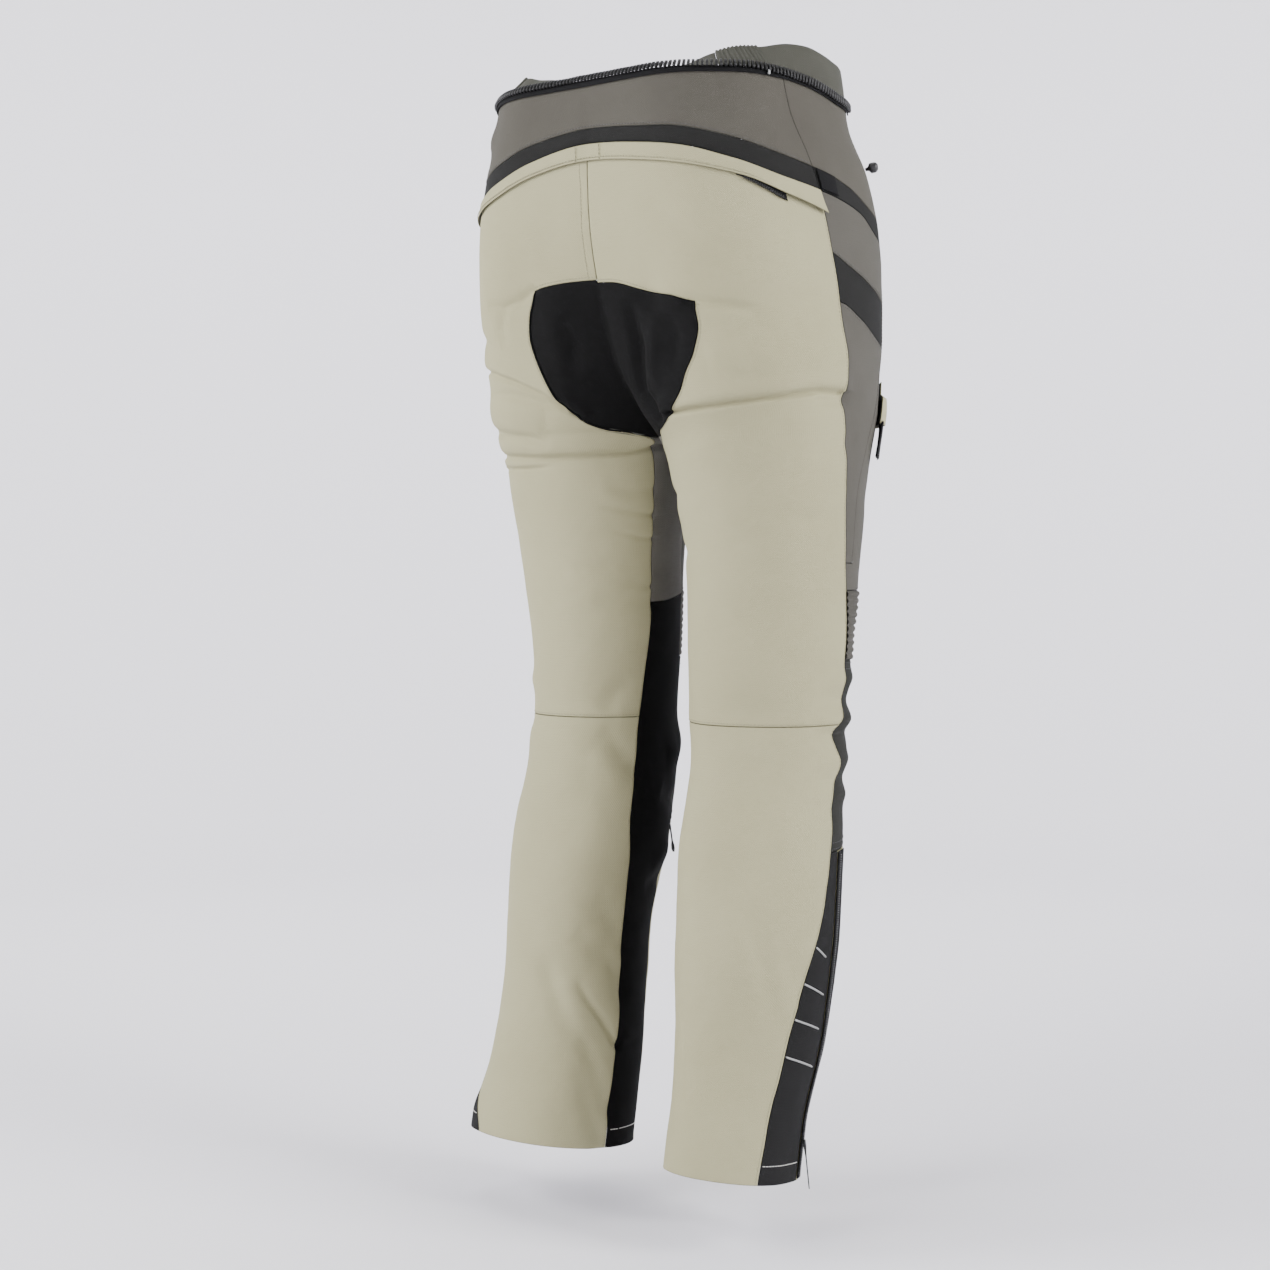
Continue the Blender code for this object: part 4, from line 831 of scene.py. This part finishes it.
# Accordion stretch above each knee
# Grey cloth pleated over elastic into ten ribs and sewn in above the knee panel, so that the
# knee bends. Each rib is lit along its crest and dark in the fold below it.
KNEE_RIBS = {"count": 10, "height": 0.0022, "fade_cells": 1.0}
rib_cloth = woven_cloth("grey_accordion_stretch", "#4A4842", "#393733", 1.1, 0.88, 0.02, 0.3)


def knee_rib_lift(side):
    """Rounded ribs round the knee, one above the other."""
    part = np.clip((FINE_V - ROW["ribs_low"]) / (ROW["ribs_top"] - ROW["ribs_low"]), 0, 1)
    wave = np.abs(np.sin(part * np.pi * KNEE_RIBS["count"])) ** 0.8
    flat = np.clip((INF - FINE_U) / KNEE_RIBS["fade_cells"], 0, 1)
    return wave[None, :] * flat[:, None] * KNEE_RIBS["height"]


for side, letter in SIDES:
    cut_panel("knee_ribs_" + letter, [(OB, INF, ROW["ribs_low"], ROW["ribs_top"])], (side,),
              [rib_cloth, cloth_back], shape=knee_rib_lift)


# Yoke and stripe round the back of the waist
# A grey yoke above a dark stripe, from side seam to side seam, and the yoke's two side pieces.
# The yoke's polyester is a warmer and slightly darker grey than the thighs'.
yoke_cloth = woven_cloth("warm_grey_woven_polyester", "#4C4A43", "#423F39", 1.1, 0.88, 0.02, 0.3)
cut_panel("stripe_back", [(MB, OB, ROW["stripe_low"], ROW["stripe_top"])], (RIGHT, LEFT),
          [stripe_cloth, cloth_back])
cut_panel("yoke_back", [(MB, OB, ROW["stripe_top"], ROW["waist"])], (RIGHT, LEFT),
          [yoke_cloth, cloth_back])
for side, letter in SIDES:
    cut_panel("yoke_side_" + letter, [(OB, OF, ROW["stripe_top"], ROW["waist"])], (side,),
              [yoke_cloth, cloth_back])


# Waistband
# Olive grey cloth sewn double to the top edge: plain over the back and front, and gathered into
# eleven ribs by elastic at each side. It is dull, with a hint of green beside the yoke.
WAIST_RIBS = {"count": 11, "height": 0.0020, "from": 3, "to": 7}
band_cloth = woven_cloth("olive_waistband_cloth", "#43433C", "#383832", 1.1, 0.88, 0.02, 0.3)


def waist_rib_lift(side):
    """Upright gathers over the elastic."""
    start, end = IB + WAIST_RIBS["from"], IB + WAIST_RIBS["to"]
    part = np.clip((FINE_U - start) / (end - start), 0, 1)
    wave = np.abs(np.sin(part * np.pi * WAIST_RIBS["count"])) ** 0.8
    return np.broadcast_to((wave * WAIST_RIBS["height"])[:, None], (len(FINE_U), len(FINE_V)))


cut_panel("waistband_back", [(MB, IB + 3, ROW["waist"], ROW["top"])], (RIGHT, LEFT),
          [band_cloth, cloth_back])
for side, letter in SIDES:
    cut_panel("waistband_ribs_" + letter, [(IB + 3, IB + 7, ROW["waist"], ROW["top"])], (side,),
              [band_cloth, cloth_back], shape=waist_rib_lift)
    cut_panel("waistband_front_" + letter, [(IB + 7, MF, ROW["waist"], ROW["top"])], (side,),
              [band_cloth, cloth_back])


# Seat band and the zip under it
# A double beige flap lies over the top of the seat, stitched along its upper edge, and the end of
# a zip shows below it on the wearer's right.
LAP_GAP = 0.0006


def on_cloth(side, u, v, grid="points"):
    """A point, normal or mark of the fine cloth at any place on the map."""
    values = getattr(CLOTH[side], grid)
    i = np.interp(u, FINE_U, np.arange(len(FINE_U)))
    j = np.interp(v, FINE_V, np.arange(len(FINE_V)))
    i0 = np.minimum(i.astype(int), len(FINE_U) - 2)
    j0 = np.minimum(j.astype(int), len(FINE_V) - 2)
    a, b = i - i0, j - j0
    if values.ndim == 3:
        a, b = a[..., None], b[..., None]
    return ((values[i0, j0] * (1 - a) + values[i0 + 1, j0] * a) * (1 - b)
            + (values[i0, j0 + 1] * (1 - a) + values[i0 + 1, j0 + 1] * a) * b)


def lay_on(name, sides, us, vs, lift, cloths, wall_mm=1.6, replaces=None):
    """A piece that lies on the panels: us by vs places, moved out by lift, which may vary over it."""
    found, points, normals, corners, marks = {}, [], [], [], []
    us = np.asarray(us, float)
    vs = np.asarray(vs, float)
    us, vs = (np.meshgrid(us, vs, indexing="ij") if us.ndim == 1 else (us, vs))
    lift = np.broadcast_to(lift, us.shape) + wall_mm / 1000
    for side in sides:
        place = on_cloth(side, us, vs)
        out = on_cloth(side, us, vs, "normals")
        place = place + out * lift[..., None]
        if len(sides) == 1:
            inside = np.abs(place[..., 0]) < EDGE["gap"]
            place[inside, 0] = side * EDGE["gap"]
        arc = on_cloth(side, us, vs, "arc")
        tall = on_cloth(side, us, vs, "height")
        for i in range(us.shape[0] - 1):
            for j in range(us.shape[1] - 1):
                quad = [(i, j), (i + 1, j), (i + 1, j + 1), (i, j + 1)]
                if side == RIGHT:
                    quad.reverse()
                face = []
                for a, b in quad:
                    shared = len(sides) == 2 and us[a, b] in (0, MF)
                    key = (0 if shared else side, us[a, b] if shared else a, b)
                    if key not in found:
                        found[key] = len(points)
                        points.append(place[a, b])
                        normals.append(out[a, b])
                    face.append(found[key])
                corners.append(face)
                marks.append([(arc[a, b], tall[a, b]) for a, b in quad])
    return sew(name, points, normals, corners, marks, cloths,
               (name,) if replaces is None else replaces, wall_mm)


def spread(*stops, steps=6):
    """Places from stop to stop, in equal steps between each."""
    run = [stops[0]]
    for a, b in zip(stops[:-1], stops[1:]):
        run += [a + (b - a) * (k + 1) / steps for k in range(steps)]
    return run


# Zip tape and webbing are finely woven and dull black
tape_cloth = woven_cloth("black_zip_tape", "#121213", "#0D0D0E", 0.8, 0.9, 0.0, 0.2)
BAND_FLARE = {"edge": 0.0010, "ends": 0.0022}
band_us = FINE_U[FINE_U <= OB + 1e-6]
band_vs = np.array(spread(ROW["band_low"] + 0.02, ROW["stripe_low"] - 0.02))
hang = (band_vs[-1] - band_vs) / (band_vs[-1] - band_vs[0])
flare = BAND_FLARE["edge"] + BAND_FLARE["ends"] * np.clip((band_us - IB - 3) / 3, 0, 1)
lay_on("seat_band", (RIGHT, LEFT), band_us, band_vs, LAP_GAP + flare[:, None] * hang[None, :] ** 1.5,
       [beige_cloth, cloth_back])
zip_us = np.array(spread(IB + 2.9, IB + 5.35, steps=20))
zip_part = np.linspace(0, 1, 21)
zip_low = ROW["band_low"] - 0.02 - 0.29 * zip_part ** 1.3
zip_tall = ROW["band_low"] + 0.10 - zip_low
zip_vs = zip_low[:, None] + zip_tall[:, None] * np.linspace(0, 1, 6)[None, :]
zip_us = np.broadcast_to(zip_us[:, None], zip_vs.shape)
lay_on("seat_zip", (RIGHT,), zip_us, zip_vs, LAP_GAP, [tape_cloth],
       1.2)
lay_on("seat_zip_left_end", (LEFT,), spread(IB + 5.2, IB + 7.0, steps=12),
       spread(ROW["band_low"] - 0.34, ROW["band_low"] + 0.02, steps=5), LAP_GAP, [tape_cloth],
       1.2, replaces=())


# Connection zip round the back of the waist
# Half of a zip sewn round the waist seam, to join the trousers to a jacket: black tape, large
# moulded teeth, a pale box at its left end and metal stops.
lay_on("waist_zip_tape", (RIGHT, LEFT), FINE_U[FINE_U <= OB + 3 + 1e-6],
       spread(ROW["tape_low"] + 0.52, ROW["waist"] - 0.02), LAP_GAP, [tape_cloth],
       1.4)


# Fly and the tab that closes the waistband
# A placket of the thigh's grey is stitched over the fly zip on the wearer's left, and a tab of
# the waistband's cloth crosses the opening above it.
lay_on("fly_placket", (LEFT,), spread(MF - 1.7, MF, steps=10),
       spread(ROW["crotch"] + 4, ROW["waist"] - 0.06, steps=40),
       LAP_GAP, [grey_cloth])
lay_on("waist_tab", (RIGHT, LEFT), spread(MF - 0.7, MF, steps=8),
       spread(ROW["waist"] + 0.35, ROW["top"] - 0.3, steps=8), LAP_GAP, [band_cloth],
       2.0)


# Thigh pockets and their flaps
# A bellows pocket on the front of each thigh, set on behind the outer seam. Its beige flap curls
# down to the leg at the seam, and a black webbing pull hangs from the flap's lower corner.
POCKET = {"wall": 0.006, "gap": 0.0009, "low_from": 2.2, "high_from": 1.4, "to": 2.95}
FLAP = {"from": 0.40, "level": 1.0, "to": 3.0, "wall_mm": 1.8}
pocket_top = ROW["crotch"] + 2.4
pocket_vs = np.array(spread(ROW["wedge_tip"] + 2.2, pocket_top, steps=24))
pocket_from = np.interp(pocket_vs, (pocket_vs[0], pocket_top),
                        (OF + POCKET["low_from"], OF + POCKET["high_from"]))
pocket_wide = OF + POCKET["to"] - pocket_from
pocket_us = pocket_from[None, :] + pocket_wide[None, :] * np.linspace(0, 1, 17)[:, None]
flap_us = np.array(spread(OF + FLAP["from"], OF + FLAP["level"], OF + FLAP["to"], steps=10))
flap_vs = np.array(spread(ROW["crotch"] + 0.36, pocket_top, ROW["crotch"] + 2.6, ROW["crotch"] + 3.6))
flap_high = POCKET["gap"] * 2 + POCKET["wall"]
flap_lift = np.interp(flap_vs, (pocket_top, ROW["crotch"] + 2.6), (flap_high, LAP_GAP))[None, :]
curl = np.interp(flap_us, (OF + FLAP["from"], OF + FLAP["level"]), (0.35, 1.0))[:, None]
pull_us = spread(OF + FLAP["from"], OF + FLAP["from"] + 0.85, steps=6)
pull_vs = np.array(spread(ROW["crotch"] - 1.1, ROW["crotch"] + 0.6, steps=10))
pull_lift = np.interp(pull_vs, (pull_vs[0], ROW["crotch"] + 0.3), (0.0060, 0.0048))
for side, letter in SIDES:
    lay_on("thigh_pocket_" + letter, (side,), pocket_us, np.broadcast_to(pocket_vs, pocket_us.shape),
           POCKET["gap"], [stripe_cloth],
           POCKET["wall"] * 1000)
    lay_on("pocket_flap_" + letter, (side,), flap_us, flap_vs, LAP_GAP + (flap_lift - LAP_GAP) * curl,
           [beige_cloth, cloth_back],
           FLAP["wall_mm"])
    lay_on("flap_pull_" + letter, (side,), pull_us, pull_vs, pull_lift[None, :], [tape_cloth],
           2.4, replaces=())


# Ankle zips
# A black coil zip between the gusset and the shin closes each leg, with a cord pull on its
# slider. Its tape is sewn to the shin's edge and shows as a dull black strip.
for side, letter in SIDES:
    lay_on("ankle_zip_" + letter, (side,), spread(OF - 0.12, OF + 0.62, steps=5),
           spread(ROW["hem"] + 0.05, ROW["shin_top"], steps=60), LAP_GAP, [tape_cloth],
           1.4)


# Loops on the side stripes
# A short length of black webbing is stitched down across each stripe by the side seam, as a
# keeper for a strap. It is as dull as the zip tapes.
for side, letter in SIDES:
    lay_on("side_loop_" + letter, (side,), spread(OB + 0.05, OB + 0.70, steps=5),
           spread(ROW["stripe_low"] + 0.05, ROW["stripe_top"] - 0.05, steps=5), LAP_GAP, [tape_cloth])


# Cord ends
# Black moulded ends of short cords: the hip adjuster's toggle, the calf's cord pull and the
# ankle zip's pull. The plastic has a low shine and a fine grain, so that it catches thin lights.
plastic, tree, shader = mottled("black_moulded_plastic", "#1E1E1F", "#171718", 0.42, 300.0)
grain = node(tree, "ShaderNodeTexNoise", {"Scale": 900.0})
pit = node(tree, "ShaderNodeBump", {"Height": (grain, 0), "Strength": 0.2, "Distance": 0.0002})
tree.links.new(pit.outputs[0], shader.inputs["Normal"])


def place_piece(name, verts, faces, finish, slot):
    """A smooth mesh of one finish, put on the garment."""
    mesh = bpy.data.meshes.new(name)
    mesh.from_pydata([tuple(map(float, p)) for p in verts], [], faces)
    mesh.shade_smooth()
    mesh.materials.append(finish)
    made = bpy.data.objects.new(name, mesh)
    bpy.context.scene.collection.objects.link(made)
    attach(made, "root")
    return made


def tube_faces(first, rings, around):
    """The faces of a closed tube of rings of points, from the first point on."""
    faces = []
    for k in range(rings - 1):
        for m in range(around):
            a, b = first + k * around + m, first + k * around + (m + 1) % around
            faces.append((a, b, b + around, a + around))
    last = first + (rings - 1) * around
    return faces + [tuple(range(first, first + around))[::-1], tuple(range(last, last + around))]


def tube(path, radii):
    """The points and faces of a round body along a path, with its radius at each point."""
    around = 16
    verts = []
    for k, radius in enumerate(radii):
        way = path[min(k + 1, len(path) - 1)] - path[max(k - 1, 0)]
        way = way / np.linalg.norm(way)
        across = np.cross(way, (0.3, 0.9, 0.2))
        across = across / np.linalg.norm(across)
        up = np.cross(way, across)
        for m in range(around):
            turn = 2 * np.pi * m / around
            verts.append(path[k] + radius * (np.cos(turn) * across + np.sin(turn) * up))
    return verts, tube_faces(0, len(path), around)


# Each starts at a place on the map, lifts off the cloth, reaches out and hangs down; lengths in metres
CordEnd = namedtuple("CordEnd", "name column row thick lift reach drop bend radii")
CORD_ENDS = (
    CordEnd("hip_cord_end", OB + 3, ROW["stripe_top"] + 1, 0.0064, 0.0006, 0.013, 0.002, 2,
            (0.5, 0.5, 0.7, 1.5, 1.6, 1.6, 1.6, 1.4, 0.8)),
    CordEnd("calf_pull", INF + 1, ROW["shin_top"], 0.0035, 0.00225, 0.004, 0.028, 1,
            (0.5, 0.5, 0.5, 0.5, 0.5, 0.55, 1.0, 1.1, 0.6)),
    CordEnd("ankle_pull", OF, ROW["hem"] + 1, 0.0030, 0.0037, 0.005, 0.046, 1,
            (0.9, 1.0, 0.6, 0.4, 0.4, 0.4, 0.4, 0.4, 0.3)),
)
for side, letter in SIDES:
    for end in CORD_ENDS:
        start = on_cloth(side, np.array(float(end.column)), np.array(float(end.row)))
        out = on_cloth(side, np.array(float(end.column)), np.array(float(end.row)), "normals")
        path = [start + out * (end.lift + end.reach * t) - np.array((0, 0, end.drop * t ** end.bend))
                for t in np.linspace(0, 1, len(end.radii))]
        made = place_piece(end.name + "_" + letter, *tube(path, np.array(end.radii) * end.thick / 2),
                           plastic, "black_plastic")
        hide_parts(end.name + "_" + letter)


# Teeth of the zips
# The connection zip has large moulded teeth along its upper edge, with a pale box and a stop at
# its ends, and the seat and ankle zips a fine coil. Teeth and coils are black with small lights.
def place_of(side, angles, heights):
    """Where spots on the leg, in degrees round and height, lie on the map."""
    us, vs = [], []
    for angle, height in zip(angles, heights):
        seams = [float(seam_angle(name, side, height)) for name, _, _ in COLUMNS]
        lines = [float(line_height(name, side, angle)) for name, _, _ in ROWS]
        us.append(np.interp(angle, seams, [COLUMN[name] for name, _, _ in COLUMNS]))
        vs.append(np.interp(height, lines, [ROW[name] for name, _, _ in ROWS]))
    return np.array(us), np.array(vs)


def boxes(name, centres, ways, outs, size, finish, slot):
    """Many small bevelled blocks in one mesh: along the way, across it, and out from the cloth."""
    along, across, tall = (x / 2 for x in size)
    levels = ((-1, 1.0), (0.4, 1.0), (1, 0.62))
    shape = np.array([(a * along * k, b * across * k, c * tall) for c, k in levels
                      for a, b in ((-1, -1), (1, -1), (1, 1), (-1, 1))])
    faces = [(3, 2, 1, 0), (8, 9, 10, 11)]
    for ring in (0, 4):
        for k in range(4):
            faces.append((ring + k, ring + (k + 1) % 4, ring + 4 + (k + 1) % 4, ring + 4 + k))
    ways = ways / np.linalg.norm(ways, axis=-1, keepdims=True)
    outs = outs - (outs * ways).sum(-1, keepdims=True) * ways
    outs = outs / np.linalg.norm(outs, axis=-1, keepdims=True)
    sides = np.cross(outs, ways)
    points = (centres[:, None] + shape[None, :, :1] * ways[:, None] + shape[None, :, 1:2] * sides[:, None]
              + shape[None, :, 2:] * outs[:, None])
    count = len(shape)
    everything = [tuple(i * count + c for c in face) for i in range(len(centres)) for face in faces]
    place_piece(name, points.reshape(-1, 3), everything, finish, slot)


def paces(side, us, vs, pitch):
    """Points, directions and outward normals at an even pitch along a line on the map."""
    us, vs = np.broadcast_arrays(np.asarray(us, float), np.asarray(vs, float))
    path = on_cloth(side, us, vs)
    outs = on_cloth(side, us, vs, "normals")
    run = np.concatenate([[0], np.cumsum(np.linalg.norm(np.diff(path, axis=0), axis=-1))])
    places = (np.arange(int(run[-1] / pitch)) + 0.5) * pitch

    def at(where, values):
        return np.stack([np.interp(where, run, values[:, k]) for k in range(3)], axis=-1)

    ahead = at(places + pitch * 0.3, path) - at(places - pitch * 0.3, path)
    return at(places, path), ahead, at(places, outs)


TEETH = {"pitch": 0.0042, "size": (0.0024, 0.0078, 0.0030), "lift": 0.0034, "above": 0.0010}
tooth_plastic, tree, shader = mottled("black_moulded_teeth", "#151515", "#0F0F0F", 0.45, 200.0)
shader.inputs["Specular IOR Level"].default_value = 0.3
runs = []
for side in (LEFT, RIGHT):
    us = np.linspace(MB, OB + 3, 240)
    centres, ways, outs = paces(side, us, ROW["waist"] + 0.03, TEETH["pitch"])
    runs.append((centres + outs * TEETH["lift"] + np.array((0, 0, TEETH["above"])), ways, outs))
boxes("waist_zip_teeth", *(np.concatenate(part) for part in zip(*runs)), TEETH["size"], tooth_plastic,
      "black_plastic")
end_finish, tree, shader = mottled("pale_grey_zip_box", "#8F9190", "#7B7D7C", 0.4, 400.0)


def zip_end(name, side, angle, height, lift, size):
    """A small block on the zip, at degrees round the waist and a height."""
    u, v = place_of(side, (angle,), (height,))
    point = on_cloth(side, u, v)
    out = on_cloth(side, u, v, "normals")
    way = on_cloth(side, u + 0.1, v) - point
    boxes(name, point + out * lift, way, out, size, end_finish, "black_plastic")


zip_end("waist_zip_end_box", LEFT, 140, 1.044, 0.0036, (0.0050, 0.0070, 0.0030))
zip_end("waist_zip_stop", RIGHT, 140.5, 1.041, 0.0046, (0.0022, 0.0040, 0.0020))
COIL = {"pitch": 0.0022, "size": (0.0012, 0.0052, 0.0012), "seat_size": (0.0013, 0.0036, 0.0012),
        "lift": 0.0021}
part = np.linspace(0.15, 1, 60)
coil_vs = ROW["band_low"] - 0.01 - 0.20 * part ** 1.3
centres, ways, outs = paces(RIGHT, IB + 2.9 + 2.2 * part, coil_vs, COIL["pitch"])
boxes("seat_zip_coil", centres + outs * COIL["lift"], ways, outs, COIL["seat_size"], tooth_plastic,
      "black_plastic")
for side, letter in SIDES:
    vs = np.linspace(ROW["hem"] + 0.1, ROW["shin_top"] - 0.05, 400)
    centres, ways, outs = paces(side, OF + 0.12, vs, COIL["pitch"])
    boxes("ankle_zip_coil_" + letter, centres + outs * COIL["lift"], ways, outs, COIL["size"], tooth_plastic,
          "black_plastic")


# Piping
# Four silver reflective cords cross each ankle gusset, and a black cord edges the seat patch, all
# sewn into the seams. Glass beads make the silver cord a bright grey with a half metallic light.
def piping(name, runs, radius, finish, slot):
    """Cords sunk half into the cloth, joined in one mesh; a run is a side and places on the map."""
    verts, faces = [], []
    around = 8
    for side, us, vs in runs:
        path = on_cloth(side, us, vs)
        outs = on_cloth(side, us, vs, "normals")
        ways = np.gradient(path, axis=0)
        across = np.cross(ways, outs)
        across = across / np.linalg.norm(across, axis=-1, keepdims=True)
        first = len(verts)
        for k in range(len(path)):
            slim = radius * (0.35 if k in (0, len(path) - 1) else 1.0)
            for m in range(around):
                turn = 2 * np.pi * m / around
                away = radius * 0.25 + slim * np.sin(turn)
                verts.append(path[k] + outs[k] * away + across[k] * slim * np.cos(turn))
        faces += tube_faces(first, len(path), around)
    place_piece(name, verts, faces, finish, slot)


reflective, tree, shader = mottled("silver_reflective_piping", "#9B9C9A", "#858684", 0.38, 500.0)
shader.inputs["Metallic"].default_value = 0.25
GUSSET_PIPING = (((173, 0.232), (187, 0.220)), ((163, 0.200), (190, 0.184)), ((156, 0.168), (190, 0.152)),
                 ((154, 0.133), (193, 0.116)))
for side, letter in SIDES:
    runs = []
    for (angle_0, height_0), (angle_1, height_1) in GUSSET_PIPING:
        part = np.linspace(0, 1, 14)
        us, vs = place_of(side, angle_0 + (angle_1 - angle_0) * part,
                          height_0 + (height_1 - height_0) * part)
        runs.append((side, np.clip(us, OB + 0.06, OF - 0.1), vs))
    piping("gusset_piping_" + letter, runs, 0.0010, reflective, "dark_grey_cloth")
piping_rise = np.linspace(ROW["crotch"] + 0.3, ROW["patch_top"], 50)
piping("patch_piping", [(side, np.full(50, IB - 0.02), piping_rise) for side in (RIGHT, LEFT)],
       0.0011, patch_stretch, "black_stretch")


# Topstitching
# Polyester thread in the colour of each cloth, two to three millimetres from the seams; the hems of
# the dark panels have white thread. A stitch is drawn slightly long, since three millimetres is fine.
def beside(side, us, vs, across_u, across_v, away):
    """A line on the map, moved a real distance to one side of the one given, with its side first."""
    us, vs = np.broadcast_arrays(np.asarray(us, float), np.asarray(vs, float))
    nearby = on_cloth(side, us + across_u * 0.05, vs + across_v * 0.05) - on_cloth(side, us, vs)
    share = 0.05 * away / np.maximum(np.linalg.norm(nearby, axis=-1), 1e-6)
    return side, us + across_u * share, vs + across_v * share


STITCH = {"pitch": 0.0036, "size": (0.0027, 0.0007, 0.0006), "stand": 0.0001, "on_band": 0.0036}
NEAR, SECOND_ROW, CLOSE, PATCH, HEM_TURN = 0.0025, 0.0085, 0.0022, 0.0030, 0.0180


def topstitch(name, runs, thread, slot, lift=0.0):
    """Rows of stitches; a run is a side and places on the map."""
    found = []
    for side, us, vs in runs:
        centres, ways, outs = paces(side, us, vs, STITCH["pitch"])
        if len(centres):
            found.append((centres + outs * (STITCH["stand"] + lift), ways, outs))
    boxes(name, *(np.concatenate(part) for part in zip(*found)), STITCH["size"], thread, slot)


# Spun thread is a little darker than its cloth, so that a row reads as a fine broken line
beige_thread = mottled("beige_polyester_thread", "#8F8B6E", "#7F7B5F", 0.6, 600.0)[0]
grey_thread = mottled("grey_polyester_thread", "#3C3A36", "#32302D", 0.6, 600.0)[0]
dark_thread = mottled("black_polyester_thread", "#151515", "#0F0F0F", 0.6, 600.0)[0]
white_thread = mottled("white_polyester_thread", "#CFCDC6", "#BBB9B2", 0.6, 600.0)[0]
for side, letter in SIDES:
    up = np.linspace(ROW["hem"] + 0.05, ROW["stripe_low"] - 1.05, 900)
    edge = np.linspace(ROW["crotch"] + 0.1, ROW["patch_top"], 160)
    topstitch("beige_stitching_" + letter,
              [beside(side, OB, up, -1, 0, NEAR),
               beside(side, IB, up[up < ROW["crotch"]], 1, 0, NEAR),
               beside(side, np.linspace(IB + 0.1, OB - 0.1, 200), ROW["knee_back"], 0, 1, CLOSE),
               beside(side, IB, edge, 1, 0, PATCH),
               beside(side, np.linspace(MB, IB, 60), ROW["patch_top"], 0, 1, PATCH),
               beside(side, np.linspace(OF + 0.8, INF - 0.1, 160), ROW["shin_top"], 0, -1, NEAR)],
              beige_thread, "beige_cloth")
    wide = np.linspace(OB + 0.1, OF - 0.1, 80)
    rise = np.linspace(ROW["crotch"] + 0.1, ROW["waist"] - 0.1, 500)
    topstitch("grey_stitching_" + letter,
              [beside(side, wide, ROW["side_stripe"], 0, 1, NEAR),
               beside(side, wide, ROW["patch_top"], 0, -1, NEAR),
               beside(side, np.linspace(OF + 0.1, INF - 0.1, 200), ROW["ribs_top"], 0, 1, NEAR),
               beside(side, OF, rise, 1, 0, NEAR),
               beside(side, MF, rise, -1, 0, NEAR if side == RIGHT else 0.0060),
               beside(side, np.linspace(MB, OB, 200), ROW["stripe_top"], 0, 1, CLOSE)],
              grey_thread, "grey_cloth")
    knee = np.linspace(OB + 0.1, INF - 0.1, 260)
    topstitch("knee_stitching_" + letter,
              [beside(side, knee, ROW[line], 0, way, away) for line, way in (("ribs_low", -1), ("shin_top", 1))
               for away in (NEAR, SECOND_ROW)], dark_thread, "black_cloth")
    topstitch("white_hem_stitching_" + letter,
              [beside(side, np.linspace(*stretch), ROW["hem"], 0, 1, HEM_TURN) for stretch in
               ((OB + 0.1, OF - 0.2, 80), (MB, IB - 0.1, 120), (INF + 0.1, MF, 90))],
              white_thread, "dark_grey_cloth")
centre = np.linspace(ROW["patch_top"] + 0.05, ROW["band_low"], 160)
topstitch("centre_seam_stitching", [beside(LEFT, MB, centre, 1, 0, 0.0095)], beige_thread, "beige_cloth")
across_band = np.linspace(ROW["band_low"] + 0.05, ROW["stripe_low"] - 0.05, 30)
band_runs = [beside(LEFT, MB, across_band, 1, 0, 0.0115), beside(RIGHT, MB, across_band, 1, 0, 0.0190)]
band_runs += [beside(side, np.linspace(MB, OB - 0.1, 300), ROW["band_low"] + 0.02, 0, 1, PATCH)
              for side in (RIGHT, LEFT)]
topstitch("seat_band_stitching", band_runs, beige_thread, "beige_cloth", lift=STITCH["on_band"])
